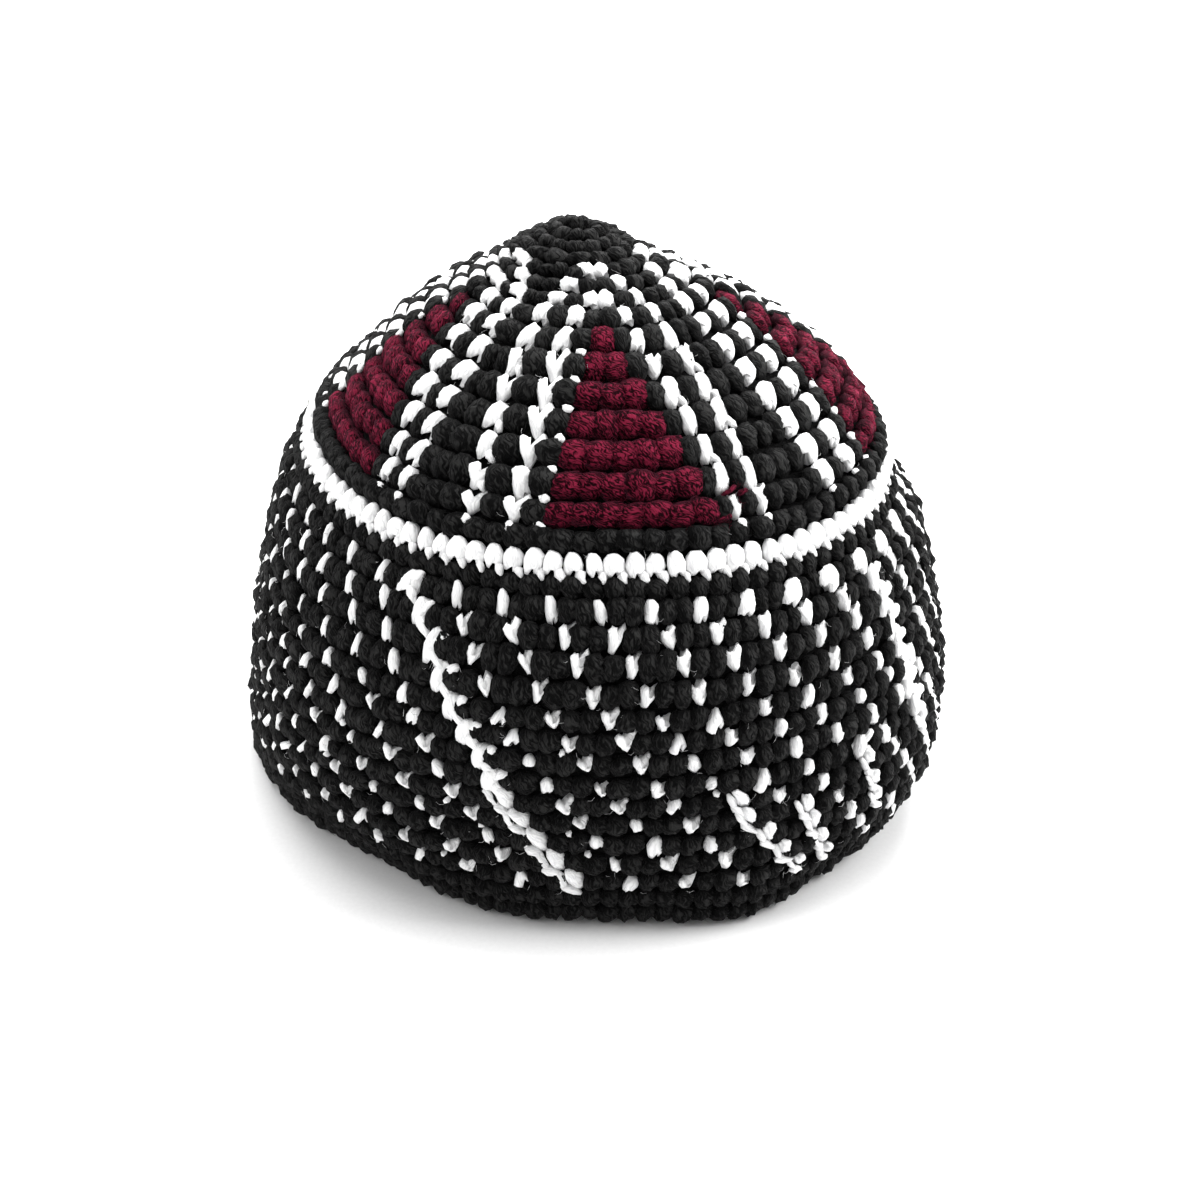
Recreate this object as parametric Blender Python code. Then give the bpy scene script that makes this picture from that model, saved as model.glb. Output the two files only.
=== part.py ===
"""A skullcap crocheted in the round from the tip down, in thick cotton yarn.

Four sections of one fabric, each worked onto the one before: the domed crown, the white ridge round where
the crown turns down, the deep side band, and the edging rounds at the rim that the cap stands on. Each
section is a closed wall of fabric with every crochet round standing out as a rib.

Units are metres, +Z is up and the front of the cap faces -Y. The origin is the middle of the footprint, on
the surface the cap stands on. Places along the fabric are given as `at`: 0 at the tip, 1 at the lower edge
of the ridge round and 2 at the rim.
"""

import math
from typing import NamedTuple

import bmesh
import bpy
from mathutils import Vector

# Driving dimensions
CAP_WIDTH = 0.190
RIDGE_WIDTH = 0.1526
CROWN_RISE = 0.057
SIDE_DROP = 0.088
FABRIC_THICKNESS = 0.0045
ROUND_GROOVE = 0.0012
RIDGE_PROUD = 0.0008
TIP_LEAN = 0.004
RIDGE_FORWARD = 0.0035
RIDGE_WAVE = 0.0027
SEAM_GAP = 0.0003

# Rounds of stitches, counted down from the tip
CROWN_ROUNDS = 16
RIDGE_ROUNDS = 1
BAND_ROUNDS = 14
EDGING_ROUNDS = 2

# How finely the curved walls are divided
MERIDIANS = 48
LINING_STEP = 2
SLOPE_STEP = 0.01


class CrownRow(NamedTuple):
    """One station of the crown: radius and height as shares of the ridge radius and the crown's rise."""

    at: float
    radius: float
    height: float
    lean: float


class SideRow(NamedTuple):
    """One station of the side: how full it is between ridge and widest part, and how far down it lies."""

    at: float
    fullness: float
    drop: float
    lean: float


class PlanRow(NamedTuple):
    """Radius at one station in eight directions seen from above, as shares of the turned radius."""

    at: float
    front: float
    front_right: float
    right: float
    back_right: float
    back: float
    back_left: float
    left: float
    front_left: float


CROWN_ROWS = [
    CrownRow(at=0.00, radius=0.00, height=1.00, lean=1.00),
    CrownRow(at=0.12, radius=0.10, height=0.945, lean=0.85),
    CrownRow(at=0.24, radius=0.19, height=0.88, lean=0.70),
    CrownRow(at=0.35, radius=0.28, height=0.81, lean=0.52),
    CrownRow(at=0.47, radius=0.41, height=0.725, lean=0.32),
    CrownRow(at=0.59, radius=0.575, height=0.585, lean=0.16),
    CrownRow(at=0.71, radius=0.73, height=0.42, lean=0.07),
    CrownRow(at=0.82, radius=0.86, height=0.25, lean=0.02),
    CrownRow(at=0.94, radius=0.965, height=0.08, lean=0.00),
    CrownRow(at=1.00, radius=1.00, height=0.00, lean=0.02),
]

SIDE_ROWS = [
    SideRow(at=1.00, fullness=0.00, drop=0.00, lean=0.02),
    SideRow(at=1.06, fullness=0.14, drop=0.045, lean=0.05),
    SideRow(at=1.19, fullness=0.43, drop=0.17, lean=0.09),
    SideRow(at=1.31, fullness=0.62, drop=0.31, lean=0.14),
    SideRow(at=1.44, fullness=0.78, drop=0.44, lean=0.18),
    SideRow(at=1.56, fullness=0.90, drop=0.565, lean=0.16),
    SideRow(at=1.69, fullness=0.97, drop=0.69, lean=0.08),
    SideRow(at=1.81, fullness=1.00, drop=0.81, lean=0.00),
    SideRow(at=1.94, fullness=0.91, drop=0.935, lean=-0.06),
    SideRow(at=2.00, fullness=0.83, drop=1.00, lean=-0.10),
]

PLAN_ROWS = [
    PlanRow(0.00, 1.00, 0.90, 0.86, 0.90, 1.00, 1.10, 1.14, 1.10),
    PlanRow(0.24, 1.00, 0.93, 0.90, 0.93, 1.00, 1.07, 1.10, 1.07),
    PlanRow(0.45, 1.01, 0.99, 1.01, 0.97, 0.98, 0.99, 0.99, 1.01),
    PlanRow(0.76, 1.01, 1.01, 1.04, 0.98, 0.99, 1.02, 0.97, 0.99),
    PlanRow(1.00, 0.985, 1.01, 1.00, 0.95, 0.99, 1.05, 0.985, 0.965),
    PlanRow(1.31, 1.01, 1.03, 1.00, 0.97, 0.99, 1.04, 0.98, 0.985),
    PlanRow(1.69, 0.98, 1.06, 0.975, 1.00, 1.00, 1.01, 0.98, 0.995),
    PlanRow(2.00, 0.995, 1.02, 0.87, 0.98, 1.00, 1.01, 1.04, 0.98),
]

# Height of the ridge round in the same eight directions, as shares of its wave
RIDGE_WAVE_ROW = [0.2, -0.8, -0.8, -0.9, -0.1, 0.7, 1.0, 0.1]

# Yarn colours, linear
BLACK_YARN = (0.012, 0.012, 0.012, 1.0)
WHITE_YARN = (0.86, 0.86, 0.84, 1.0)
YARN_ROUGHNESS = 0.9


def cubic(before, start, end, after, share):
    """A smooth value between start and end, heading for their neighbours on both sides."""
    leaving = (end - before) / 2
    arriving = (after - start) / 2
    span = end - start
    curve = leaving * share + (3 * span - 2 * leaving - arriving) * share**2
    return start + curve + (leaving + arriving - 2 * span) * share**3


def slope_at(rows, index, column):
    """Rise of a column per unit of `at`, read from the rows on both sides of one row."""
    low = rows[max(index - 1, 0)]
    high = rows[min(index + 1, len(rows) - 1)]
    return (getattr(high, column) - getattr(low, column)) / (high.at - low.at)


def along(rows, at, column):
    """The value of a column anywhere along the fabric, on a smooth curve through the rows."""
    at = min(max(at, rows[0].at), rows[-1].at)
    index = max(i for i in range(len(rows) - 1) if rows[i].at <= at)
    low, high = rows[index], rows[index + 1]
    width = high.at - low.at
    share = (at - low.at) / width
    start = getattr(low, column)
    end = getattr(high, column)
    leaving = slope_at(rows, index, column) * width
    arriving = slope_at(rows, index + 1, column) * width
    return cubic(end - 2 * leaving, start, end, start + 2 * arriving, share)


def around(values, angle):
    """The value in any direction, from values evenly spaced round the cap; 0 is the front, then the right."""
    place = (angle / math.tau * len(values)) % len(values)
    index = int(place)
    picked = [values[(index + step) % len(values)] for step in (-1, 0, 1, 2)]
    return cubic(*picked, place - index)


def plan_share(at, angle):
    """How far the plan departs from a circle at this place."""
    directions = PlanRow._fields[1:]
    return around([along(PLAN_ROWS, at, direction) for direction in directions], angle)


def profile(at, angle):
    """Radius and height of the outer surface at this place."""
    ridge_radius = RIDGE_WIDTH / 2
    if at <= 1:
        radius = along(CROWN_ROWS, at, "radius") * ridge_radius
        height = SIDE_DROP + along(CROWN_ROWS, at, "height") * CROWN_RISE
    else:
        flare = CAP_WIDTH / 2 - ridge_radius
        radius = ridge_radius + along(SIDE_ROWS, at, "fullness") * flare
        height = (1 - along(SIDE_ROWS, at, "drop")) * SIDE_DROP
    wave = around(RIDGE_WAVE_ROW, angle) * RIDGE_WAVE * max(0, 1 - abs(at - 1))
    return radius * plan_share(at, angle), height + wave


def outward(at, angle):
    """Radial and upward parts of the fabric's outward normal; level at the rim, which is cut off flat."""
    if at >= 2:
        return 1.0, 0.0
    radius_above, height_above = profile(max(at - SLOPE_STEP, 0), angle)
    radius_below, height_below = profile(at + SLOPE_STEP, angle)
    fall = height_above - height_below
    spread = radius_below - radius_above
    length = math.hypot(fall, spread)
    return fall / length, spread / length


def fabric_point(at, angle, depth):
    """A point of the fabric, `depth` below its outer surface."""
    radius, height = profile(at, angle)
    out, up = outward(at, angle) if at > 0 else (0.0, 1.0)
    radius -= out * depth
    rows = CROWN_ROWS if at <= 1 else SIDE_ROWS
    sideways = -along(rows, at, "lean") * TIP_LEAN
    forward = -RIDGE_FORWARD * max(0, 1 - abs(at - 1))
    return Vector((sideways + radius * math.sin(angle), forward - radius * math.cos(angle), height - up * depth))


def at_of_round(count):
    """Where the lower edge of a round lies, for a number of rounds counted from the tip."""
    turned = CROWN_ROUNDS + RIDGE_ROUNDS
    if count <= turned:
        return count / turned
    return 1 + (count - turned) / (BAND_ROUNDS + EDGING_ROUNDS)


def trimmed(at, side):
    """Moves the end of a section back along the fabric by half the seam gap."""
    radius_above, height_above = profile(at - SLOPE_STEP, 0)
    radius_below, height_below = profile(at + SLOPE_STEP, 0)
    length = math.hypot(radius_below - radius_above, height_below - height_above)
    return at + side * SEAM_GAP / 2 * 2 * SLOPE_STEP / length


def section_outline(first, last, proud=0.0):
    """(at, depth) pairs round a section of rounds: down its ribbed outside and back up its plain inside."""
    top = trimmed(at_of_round(first), 1) if first > 0 else 0.0
    bottom = trimmed(at_of_round(last), -1) if at_of_round(last) < 2 else 2.0
    outside = [(top, ROUND_GROOVE)]
    for count in range(first, last):
        outside.append((at_of_round(count + 0.5), -proud))
        outside.append((at_of_round(count + 1), ROUND_GROOVE))
    outside[-1] = (bottom, ROUND_GROOVE)
    inner_counts = range(last - LINING_STEP, first, -LINING_STEP)
    inside = [(at_of_round(count), FABRIC_THICKNESS) for count in inner_counts]
    return outside + [(bottom, FABRIC_THICKNESS)] + inside + [(top, FABRIC_THICKNESS)]


def skin(bm, upper, lower):
    """Faces between two neighbouring rings, where a ring at the tip is a single vertex."""
    for index in range(MERIDIANS):
        after = (index + 1) % MERIDIANS
        if len(upper) == 1:
            bm.faces.new((upper[0], lower[index], lower[after]))
        elif len(lower) == 1:
            bm.faces.new((upper[index], lower[0], upper[after]))
        else:
            bm.faces.new((upper[index], lower[index], lower[after], upper[after]))


def yarn_material(name, colour):
    """A matt yarn material of one colour."""
    material = bpy.data.materials.new(name)
    material.use_nodes = True
    shader = material.node_tree.nodes["Principled BSDF"]
    shader.inputs["Base Color"].default_value = colour
    shader.inputs["Roughness"].default_value = YARN_ROUGHNESS
    return material


def add_section(name, outline, material):
    """Builds one section of fabric as a closed solid from its outline."""
    bm = bmesh.new()
    rings = []
    for at, depth in outline:
        count = MERIDIANS if at > 0 else 1
        angles = [math.tau * index / MERIDIANS for index in range(count)]
        rings.append([bm.verts.new(fabric_point(at, angle, depth)) for angle in angles])
    for upper, lower in zip(rings, rings[1:]):
        skin(bm, upper, lower)
    if outline[0][0] > 0:
        skin(bm, rings[-1], rings[0])
    bmesh.ops.recalc_face_normals(bm, faces=bm.faces)
    mesh = bpy.data.meshes.new(name)
    bm.to_mesh(mesh)
    bm.free()
    mesh.shade_smooth()
    mesh.set_sharp_from_angle(angle=math.radians(60))
    mesh.materials.append(material)
    cap_section = bpy.data.objects.new(name, mesh)
    bpy.context.scene.collection.objects.link(cap_section)
    return cap_section


def centre_footprint(sections):
    """Moves the sections sideways together, so that the middle of their plan is the origin."""
    points = [vertex.co for section in sections for vertex in section.data.vertices]
    middle_x = (min(p.x for p in points) + max(p.x for p in points)) / 2
    middle_y = (min(p.y for p in points) + max(p.y for p in points)) / 2
    shift = Vector((-middle_x, -middle_y, 0))
    for point in points:
        point += shift


def build_cap():
    """Builds the four sections of the cap, from the tip down."""
    black = yarn_material("black_yarn", BLACK_YARN)
    white = yarn_material("white_yarn", WHITE_YARN)
    ridge_start = CROWN_ROUNDS
    band_start = ridge_start + RIDGE_ROUNDS
    edging_start = band_start + BAND_ROUNDS
    rim = edging_start + EDGING_ROUNDS
    sections = [
        add_section("crown", section_outline(0, ridge_start), black),
        add_section("ridge_round", section_outline(ridge_start, band_start, RIDGE_PROUD), white),
        add_section("side_band", section_outline(band_start, edging_start), black),
        add_section("rim_edging", section_outline(edging_start, rim), black),
    ]
    centre_footprint(sections)


def clear_scene():
    """Removes whatever the scene holds."""
    for existing in list(bpy.data.objects):
        bpy.data.objects.remove(existing, do_unlink=True)


clear_scene()
build_cap()
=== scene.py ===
"""Looks of a crocheted skullcap: every stitch of its yarn, the fabric under them, its floor and its light.

Places along the fabric are given as `at`: 0 at the tip, 1 at the lower edge of the white ridge round and 2 at
the rim. An angle is counted from the front, which faces -Y, towards the right, which is +X. Rounds of stitches
are counted down from the tip. Sizes are in metres.
"""

import logging
import math
from dataclasses import dataclass, field
from enum import Enum
from typing import Callable, NamedTuple, Sequence, Union

import bmesh
import bpy
import numpy as np
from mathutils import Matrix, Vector


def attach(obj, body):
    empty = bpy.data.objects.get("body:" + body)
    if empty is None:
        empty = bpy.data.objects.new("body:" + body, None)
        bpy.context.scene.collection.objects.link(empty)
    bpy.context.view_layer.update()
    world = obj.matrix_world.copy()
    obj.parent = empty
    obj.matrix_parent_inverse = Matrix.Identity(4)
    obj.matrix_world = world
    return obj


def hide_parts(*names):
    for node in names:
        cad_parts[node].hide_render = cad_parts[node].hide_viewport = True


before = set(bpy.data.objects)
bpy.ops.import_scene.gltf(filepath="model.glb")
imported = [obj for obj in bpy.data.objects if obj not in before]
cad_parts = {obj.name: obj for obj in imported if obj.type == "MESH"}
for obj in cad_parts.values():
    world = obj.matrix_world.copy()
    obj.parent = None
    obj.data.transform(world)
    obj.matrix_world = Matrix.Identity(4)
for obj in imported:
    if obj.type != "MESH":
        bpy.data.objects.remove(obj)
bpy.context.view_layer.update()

LOG = logging.getLogger("crocheted_cap")
BODY = "root"
SEED = np.random.default_rng(seed=17)
MILLIMETRE = 0.001

# Height of the points where a stitch is pressed flat on the surface
PRESSED_FLAT = 0.00004

CROWN_ROUNDS = 16
RIDGE_COUNT = CROWN_ROUNDS + 1
SIDE_ROUNDS = 16
EDGING_ROUNDS = 2

Socket = bpy.types.NodeSocket
Value = Union[Socket, float]
Colour = tuple[float, float, float]
Wanted = Callable[[Vector], bool]


class CrownRow(NamedTuple):
    """One station of the crown: radius and height as shares of the ridge radius and the crown's rise."""

    at: float
    radius: float
    height: float
    lean: float


class SideRow(NamedTuple):
    """One station of the side: how full it is between ridge and widest part, and how far down it lies."""

    at: float
    fullness: float
    drop: float
    lean: float


class PlanRow(NamedTuple):
    """Radius at one station in eight directions seen from above, as shares of the turned radius."""

    at: float
    front: float
    front_right: float
    right: float
    back_right: float
    back: float
    back_left: float
    left: float
    front_left: float


CROWN_ROWS = [
    CrownRow(at=0.00, radius=0.00, height=1.00, lean=1.00),
    CrownRow(at=0.12, radius=0.10, height=0.945, lean=0.85),
    CrownRow(at=0.24, radius=0.19, height=0.88, lean=0.70),
    CrownRow(at=0.35, radius=0.28, height=0.81, lean=0.52),
    CrownRow(at=0.47, radius=0.41, height=0.725, lean=0.32),
    CrownRow(at=0.59, radius=0.575, height=0.585, lean=0.16),
    CrownRow(at=0.71, radius=0.73, height=0.42, lean=0.07),
    CrownRow(at=0.82, radius=0.86, height=0.25, lean=0.02),
    CrownRow(at=0.94, radius=0.965, height=0.08, lean=0.00),
    CrownRow(at=1.00, radius=1.00, height=0.00, lean=0.02),
]

SIDE_ROWS = [
    SideRow(at=1.00, fullness=0.00, drop=0.00, lean=0.02),
    SideRow(at=1.06, fullness=0.14, drop=0.045, lean=0.05),
    SideRow(at=1.19, fullness=0.43, drop=0.17, lean=0.09),
    SideRow(at=1.31, fullness=0.62, drop=0.31, lean=0.14),
    SideRow(at=1.44, fullness=0.78, drop=0.44, lean=0.18),
    SideRow(at=1.56, fullness=0.90, drop=0.565, lean=0.16),
    SideRow(at=1.69, fullness=0.97, drop=0.69, lean=0.08),
    SideRow(at=1.81, fullness=1.00, drop=0.81, lean=0.00),
    SideRow(at=1.94, fullness=0.91, drop=0.935, lean=-0.06),
    SideRow(at=2.00, fullness=0.83, drop=1.00, lean=-0.10),
]

PLAN_ROWS = [
    PlanRow(0.00, 1.00, 0.90, 0.86, 0.90, 1.00, 1.10, 1.14, 1.10),
    PlanRow(0.24, 1.00, 0.93, 0.90, 0.93, 1.00, 1.07, 1.10, 1.07),
    PlanRow(0.45, 1.01, 0.99, 1.01, 0.97, 0.98, 0.99, 0.99, 1.01),
    PlanRow(0.76, 1.01, 1.01, 1.04, 0.98, 0.99, 1.02, 0.97, 0.99),
    PlanRow(1.00, 0.985, 1.01, 1.00, 0.95, 0.99, 1.05, 0.985, 0.965),
    PlanRow(1.31, 1.01, 1.03, 1.00, 0.97, 0.99, 1.04, 0.98, 0.985),
    PlanRow(1.69, 0.98, 1.06, 0.975, 1.00, 1.00, 1.01, 0.98, 0.995),
    PlanRow(2.00, 0.995, 1.02, 0.87, 0.98, 1.00, 1.01, 1.04, 0.98),
]

# Height of the ridge round in the same eight directions, as shares of its wave
RIDGE_WAVE_ROW = [0.2, -0.8, -0.8, -0.9, -0.1, 0.7, 1.0, 0.1]

# Degrees that the side's stitches drift to the right from one round to the next, in the same directions
DRIFT_ROW = [2.3, 1.7, 1.3, 1.7, 2.3, 2.5, 2.5, 2.4]


class Swell(NamedTuple):
    """A place where the soft fabric stands out, or in where it is negative, by some millimetres.

    Its middle is a place in rounds from the tip and a direction in degrees, and it fades over `rounds` and
    `degrees_wide`.
    """

    count: float
    degrees: float
    rounds: float
    degrees_wide: float
    millimetres: float


SWELLS = [
    Swell(count=10.0, degrees=-112, rounds=1.5, degrees_wide=30, millimetres=0.5),
    Swell(count=13.0, degrees=-108, rounds=1.5, degrees_wide=26, millimetres=-0.5),
    Swell(count=18.2, degrees=92, rounds=1.1, degrees_wide=22, millimetres=-2.4),
    Swell(count=12.2, degrees=106, rounds=1.6, degrees_wide=24, millimetres=0.6),
    Swell(count=33.0, degrees=-38, rounds=2.9, degrees_wide=14, millimetres=-2.4),
    Swell(count=33.0, degrees=42, rounds=2.9, degrees_wide=14, millimetres=-2.0),
    Swell(count=33.0, degrees=21, rounds=2.6, degrees_wide=9, millimetres=3.2),
    Swell(count=33.0, degrees=-14, rounds=2.6, degrees_wide=9, millimetres=1.0),
]


class Yarn(Enum):
    """The three yarns that the cap is worked in."""

    BLACK = "black"
    WHITE = "white"
    BURGUNDY = "burgundy"


class Shape(Enum):
    """The shapes that a stitch's yarn takes on the surface."""

    BEAN = "bean"
    PAD = "pad"
    FORK = "fork"
    STRAND = "strand"


@dataclass(frozen=True)
class Places:
    """Points on the fabric with the directions of the fabric there, one row for each point."""

    origin: np.ndarray
    right: np.ndarray
    up: np.ndarray
    out: np.ndarray


@dataclass(frozen=True)
class CapForm:
    """The outer surface of the cap, the same as its source's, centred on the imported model."""

    cap_width: float = 0.190
    ridge_width: float = 0.1526
    crown_rise: float = 0.057
    side_drop: float = 0.088
    tip_lean: float = 0.004
    ridge_forward: float = 0.0035
    ridge_wave: float = 0.0027
    slope_step: float = 0.01
    sweep_steps: int = 144
    nearest_tip: float = 0.001

    def along(self, rows: Sequence[NamedTuple], column: str, at: np.ndarray) -> np.ndarray:
        """The value of a column anywhere along the fabric, on a smooth curve through the rows.

        Args:
            rows: stations from the tip down.
            column: name of the column to read.
            at: places along the fabric.

        Returns:
            One value for each place.
        """
        places = np.array([row.at for row in rows])
        values = np.array([getattr(row, column) for row in rows])
        numbers = np.arange(len(rows))
        last = len(rows) - 1
        before = np.maximum(numbers - 1, 0)
        after = np.minimum(numbers + 1, last)
        slopes = (values[after] - values[before]) / (places[after] - places[before])
        held = np.clip(at, places[0], places[-1])
        index = np.clip(np.searchsorted(places, held, side="right") - 1, 0, last - 1)
        width = places[index + 1] - places[index]
        share = (held - places[index]) / width
        return self.cubic(values[index], values[index + 1], slopes[index] * width, slopes[index + 1] * width, share)

    @staticmethod
    def cubic(
        start: np.ndarray, end: np.ndarray, leaving: np.ndarray, arriving: np.ndarray, share: np.ndarray
    ) -> np.ndarray:
        """Smooth values between start and end.

        Args:
            start: values where share is 0.
            end: values where share is 1.
            leaving: slopes at the start.
            arriving: slopes at the end.
            share: how far along each value lies.

        Returns:
            The values in between.
        """
        span = end - start
        curve = leaving * share + (3 * span - 2 * leaving - arriving) * share**2
        return start + curve + (leaving + arriving - 2 * span) * share**3

    def around(self, values: np.ndarray, angle: np.ndarray) -> np.ndarray:
        """The value in any direction, from values evenly spaced round the cap.

        Args:
            values: one row for each of the evenly spaced directions, and one column for each angle.
            angle: directions in radians.

        Returns:
            One value for each angle.
        """
        count = len(values)
        place = (angle / math.tau * count) % count
        index = np.minimum(place.astype(int), count - 1)
        columns = np.arange(len(angle))
        before, start, end, after = (values[(index + step) % count, columns] for step in (-1, 0, 1, 2))
        return self.cubic(start, end, (end - before) / 2, (after - start) / 2, place - index)

    def around_row(self, row: Sequence[float], angle: np.ndarray) -> np.ndarray:
        """The value in any direction, from one short row of values."""
        return self.around(np.repeat(np.array(row)[:, None], len(angle), axis=1), angle)

    def profile(self, at: np.ndarray, angle: np.ndarray) -> tuple[np.ndarray, np.ndarray]:
        """Radius and height of the outer surface.

        Args:
            at: places along the fabric.
            angle: directions in radians.

        Returns:
            The radii and the heights.
        """
        ridge_radius = self.ridge_width / 2
        plan = self.around(np.array([self.along(PLAN_ROWS, name, at) for name in PlanRow._fields[1:]]), angle)
        crown_radius = self.along(CROWN_ROWS, "radius", at) * ridge_radius
        side_radius = ridge_radius + self.along(SIDE_ROWS, "fullness", at) * (self.cap_width / 2 - ridge_radius)
        crown_height = self.side_drop + self.along(CROWN_ROWS, "height", at) * self.crown_rise
        side_height = (1 - self.along(SIDE_ROWS, "drop", at)) * self.side_drop
        wave = self.around_row(RIDGE_WAVE_ROW, angle) * self.ridge_wave * self.ridge_share(at)
        radius = np.where(at <= 1, crown_radius, side_radius) * plan
        return radius, np.where(at <= 1, crown_height, side_height) + wave

    @staticmethod
    def ridge_share(at: np.ndarray) -> np.ndarray:
        """How near a place is to the ridge, from 1 on it to 0 at the tip and the rim."""
        return np.maximum(0, 1 - np.abs(at - 1))

    def loose_point(self, at: np.ndarray, angle: np.ndarray, depth: float) -> np.ndarray:
        """Points of the fabric before it is centred.

        Args:
            at: places along the fabric.
            angle: directions in radians.
            depth: how far below the outer surface the points lie.

        Returns:
            One point for each place.
        """
        radius, height = self.profile(at, angle)
        radius_above, height_above = self.profile(np.maximum(at - self.slope_step, 0), angle)
        radius_below, height_below = self.profile(at + self.slope_step, angle)
        length = np.hypot(height_above - height_below, radius_below - radius_above)
        level = at >= 2
        out = np.where(level, 1, (height_above - height_below) / length)
        up = np.where(level, 0, (radius_below - radius_above) / length)
        lean = np.where(at <= 1, self.along(CROWN_ROWS, "lean", at), self.along(SIDE_ROWS, "lean", at))
        reach = radius - out * depth
        x = -lean * self.tip_lean + reach * np.sin(angle)
        y = -self.ridge_forward * self.ridge_share(at) - reach * np.cos(angle)
        return np.stack([x, y, height - up * depth], axis=-1)

    def middle(self) -> np.ndarray:
        """The middle of the plan before the form is centred."""
        stations = np.repeat(np.linspace(0, 2, self.sweep_steps), self.sweep_steps)
        angles = np.tile(np.linspace(0, math.tau, self.sweep_steps), self.sweep_steps)
        points = self.loose_point(stations, angles, 0.0)
        centre = (points.min(axis=0) + points.max(axis=0)) / 2
        return np.array([centre[0], centre[1], 0.0])

    def point(self, at: np.ndarray, angle: np.ndarray, depth: float = 0.0) -> np.ndarray:
        """Points of the centred fabric, `depth` below its outer surface."""
        return self.loose_point(at, angle, depth - self.swell(at, angle)) - MIDDLE

    @staticmethod
    def swell(at: np.ndarray, angle: np.ndarray) -> np.ndarray:
        """How far the soft fabric stands out beyond its plain form.

        Args:
            at: places along the fabric.
            angle: directions in radians.

        Returns:
            One distance in metres for each place.
        """
        count = np.where(at <= 1, at * RIDGE_COUNT, RIDGE_COUNT + (at - 1) * SIDE_ROUNDS)
        total = np.zeros(np.shape(at))
        for place in SWELLS:
            off = angle - math.radians(place.degrees)
            away = np.degrees(np.arctan2(np.sin(off), np.cos(off)))
            fade = ((count - place.count) / place.rounds) ** 2 + (away / place.degrees_wide) ** 2
            total = total + place.millimetres * MILLIMETRE * np.exp(-fade)
        return total

    def places(self, at: np.ndarray, angle: np.ndarray) -> Places:
        """Points on the outer surface and the fabric's directions there.

        Args:
            at: places along the fabric.
            angle: directions in radians.

        Returns:
            Origins with unit vectors to the right, up along the fabric, and out of it.
        """
        step = self.slope_step
        origin = self.point(at, angle)
        right = unit(self.point(at, angle + step) - self.point(at, angle - step))
        low = np.minimum(at + step, 2)
        up = unit(self.point(np.maximum(at - step, self.nearest_tip), angle) - self.point(low, angle))
        out = unit(np.cross(right, up))
        return Places(origin, right, np.cross(out, right), out)


def unit(vectors: np.ndarray) -> np.ndarray:
    """Vectors of length one in the same directions."""
    return vectors / np.linalg.norm(vectors, axis=-1, keepdims=True)


def at_of_round(count: float) -> float:
    """Where a round lies, for a number of rounds counted from the tip."""
    if count <= RIDGE_COUNT:
        return count / RIDGE_COUNT
    return 1 + (count - RIDGE_COUNT) / SIDE_ROUNDS


FORM = CapForm()
MIDDLE = FORM.middle()


@dataclass(frozen=True)
class StitchModel:
    """One modelled stitch in a box of size one: it faces -Y, and +Z is up along the fabric."""

    points: np.ndarray
    corners: list[tuple[int, ...]]
    along_yarn: np.ndarray
    around_yarn: np.ndarray


def deselect() -> None:
    """Deselects everything, so that the next operator acts on the new piece alone."""
    bpy.ops.object.select_all(action="DESELECT")


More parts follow.
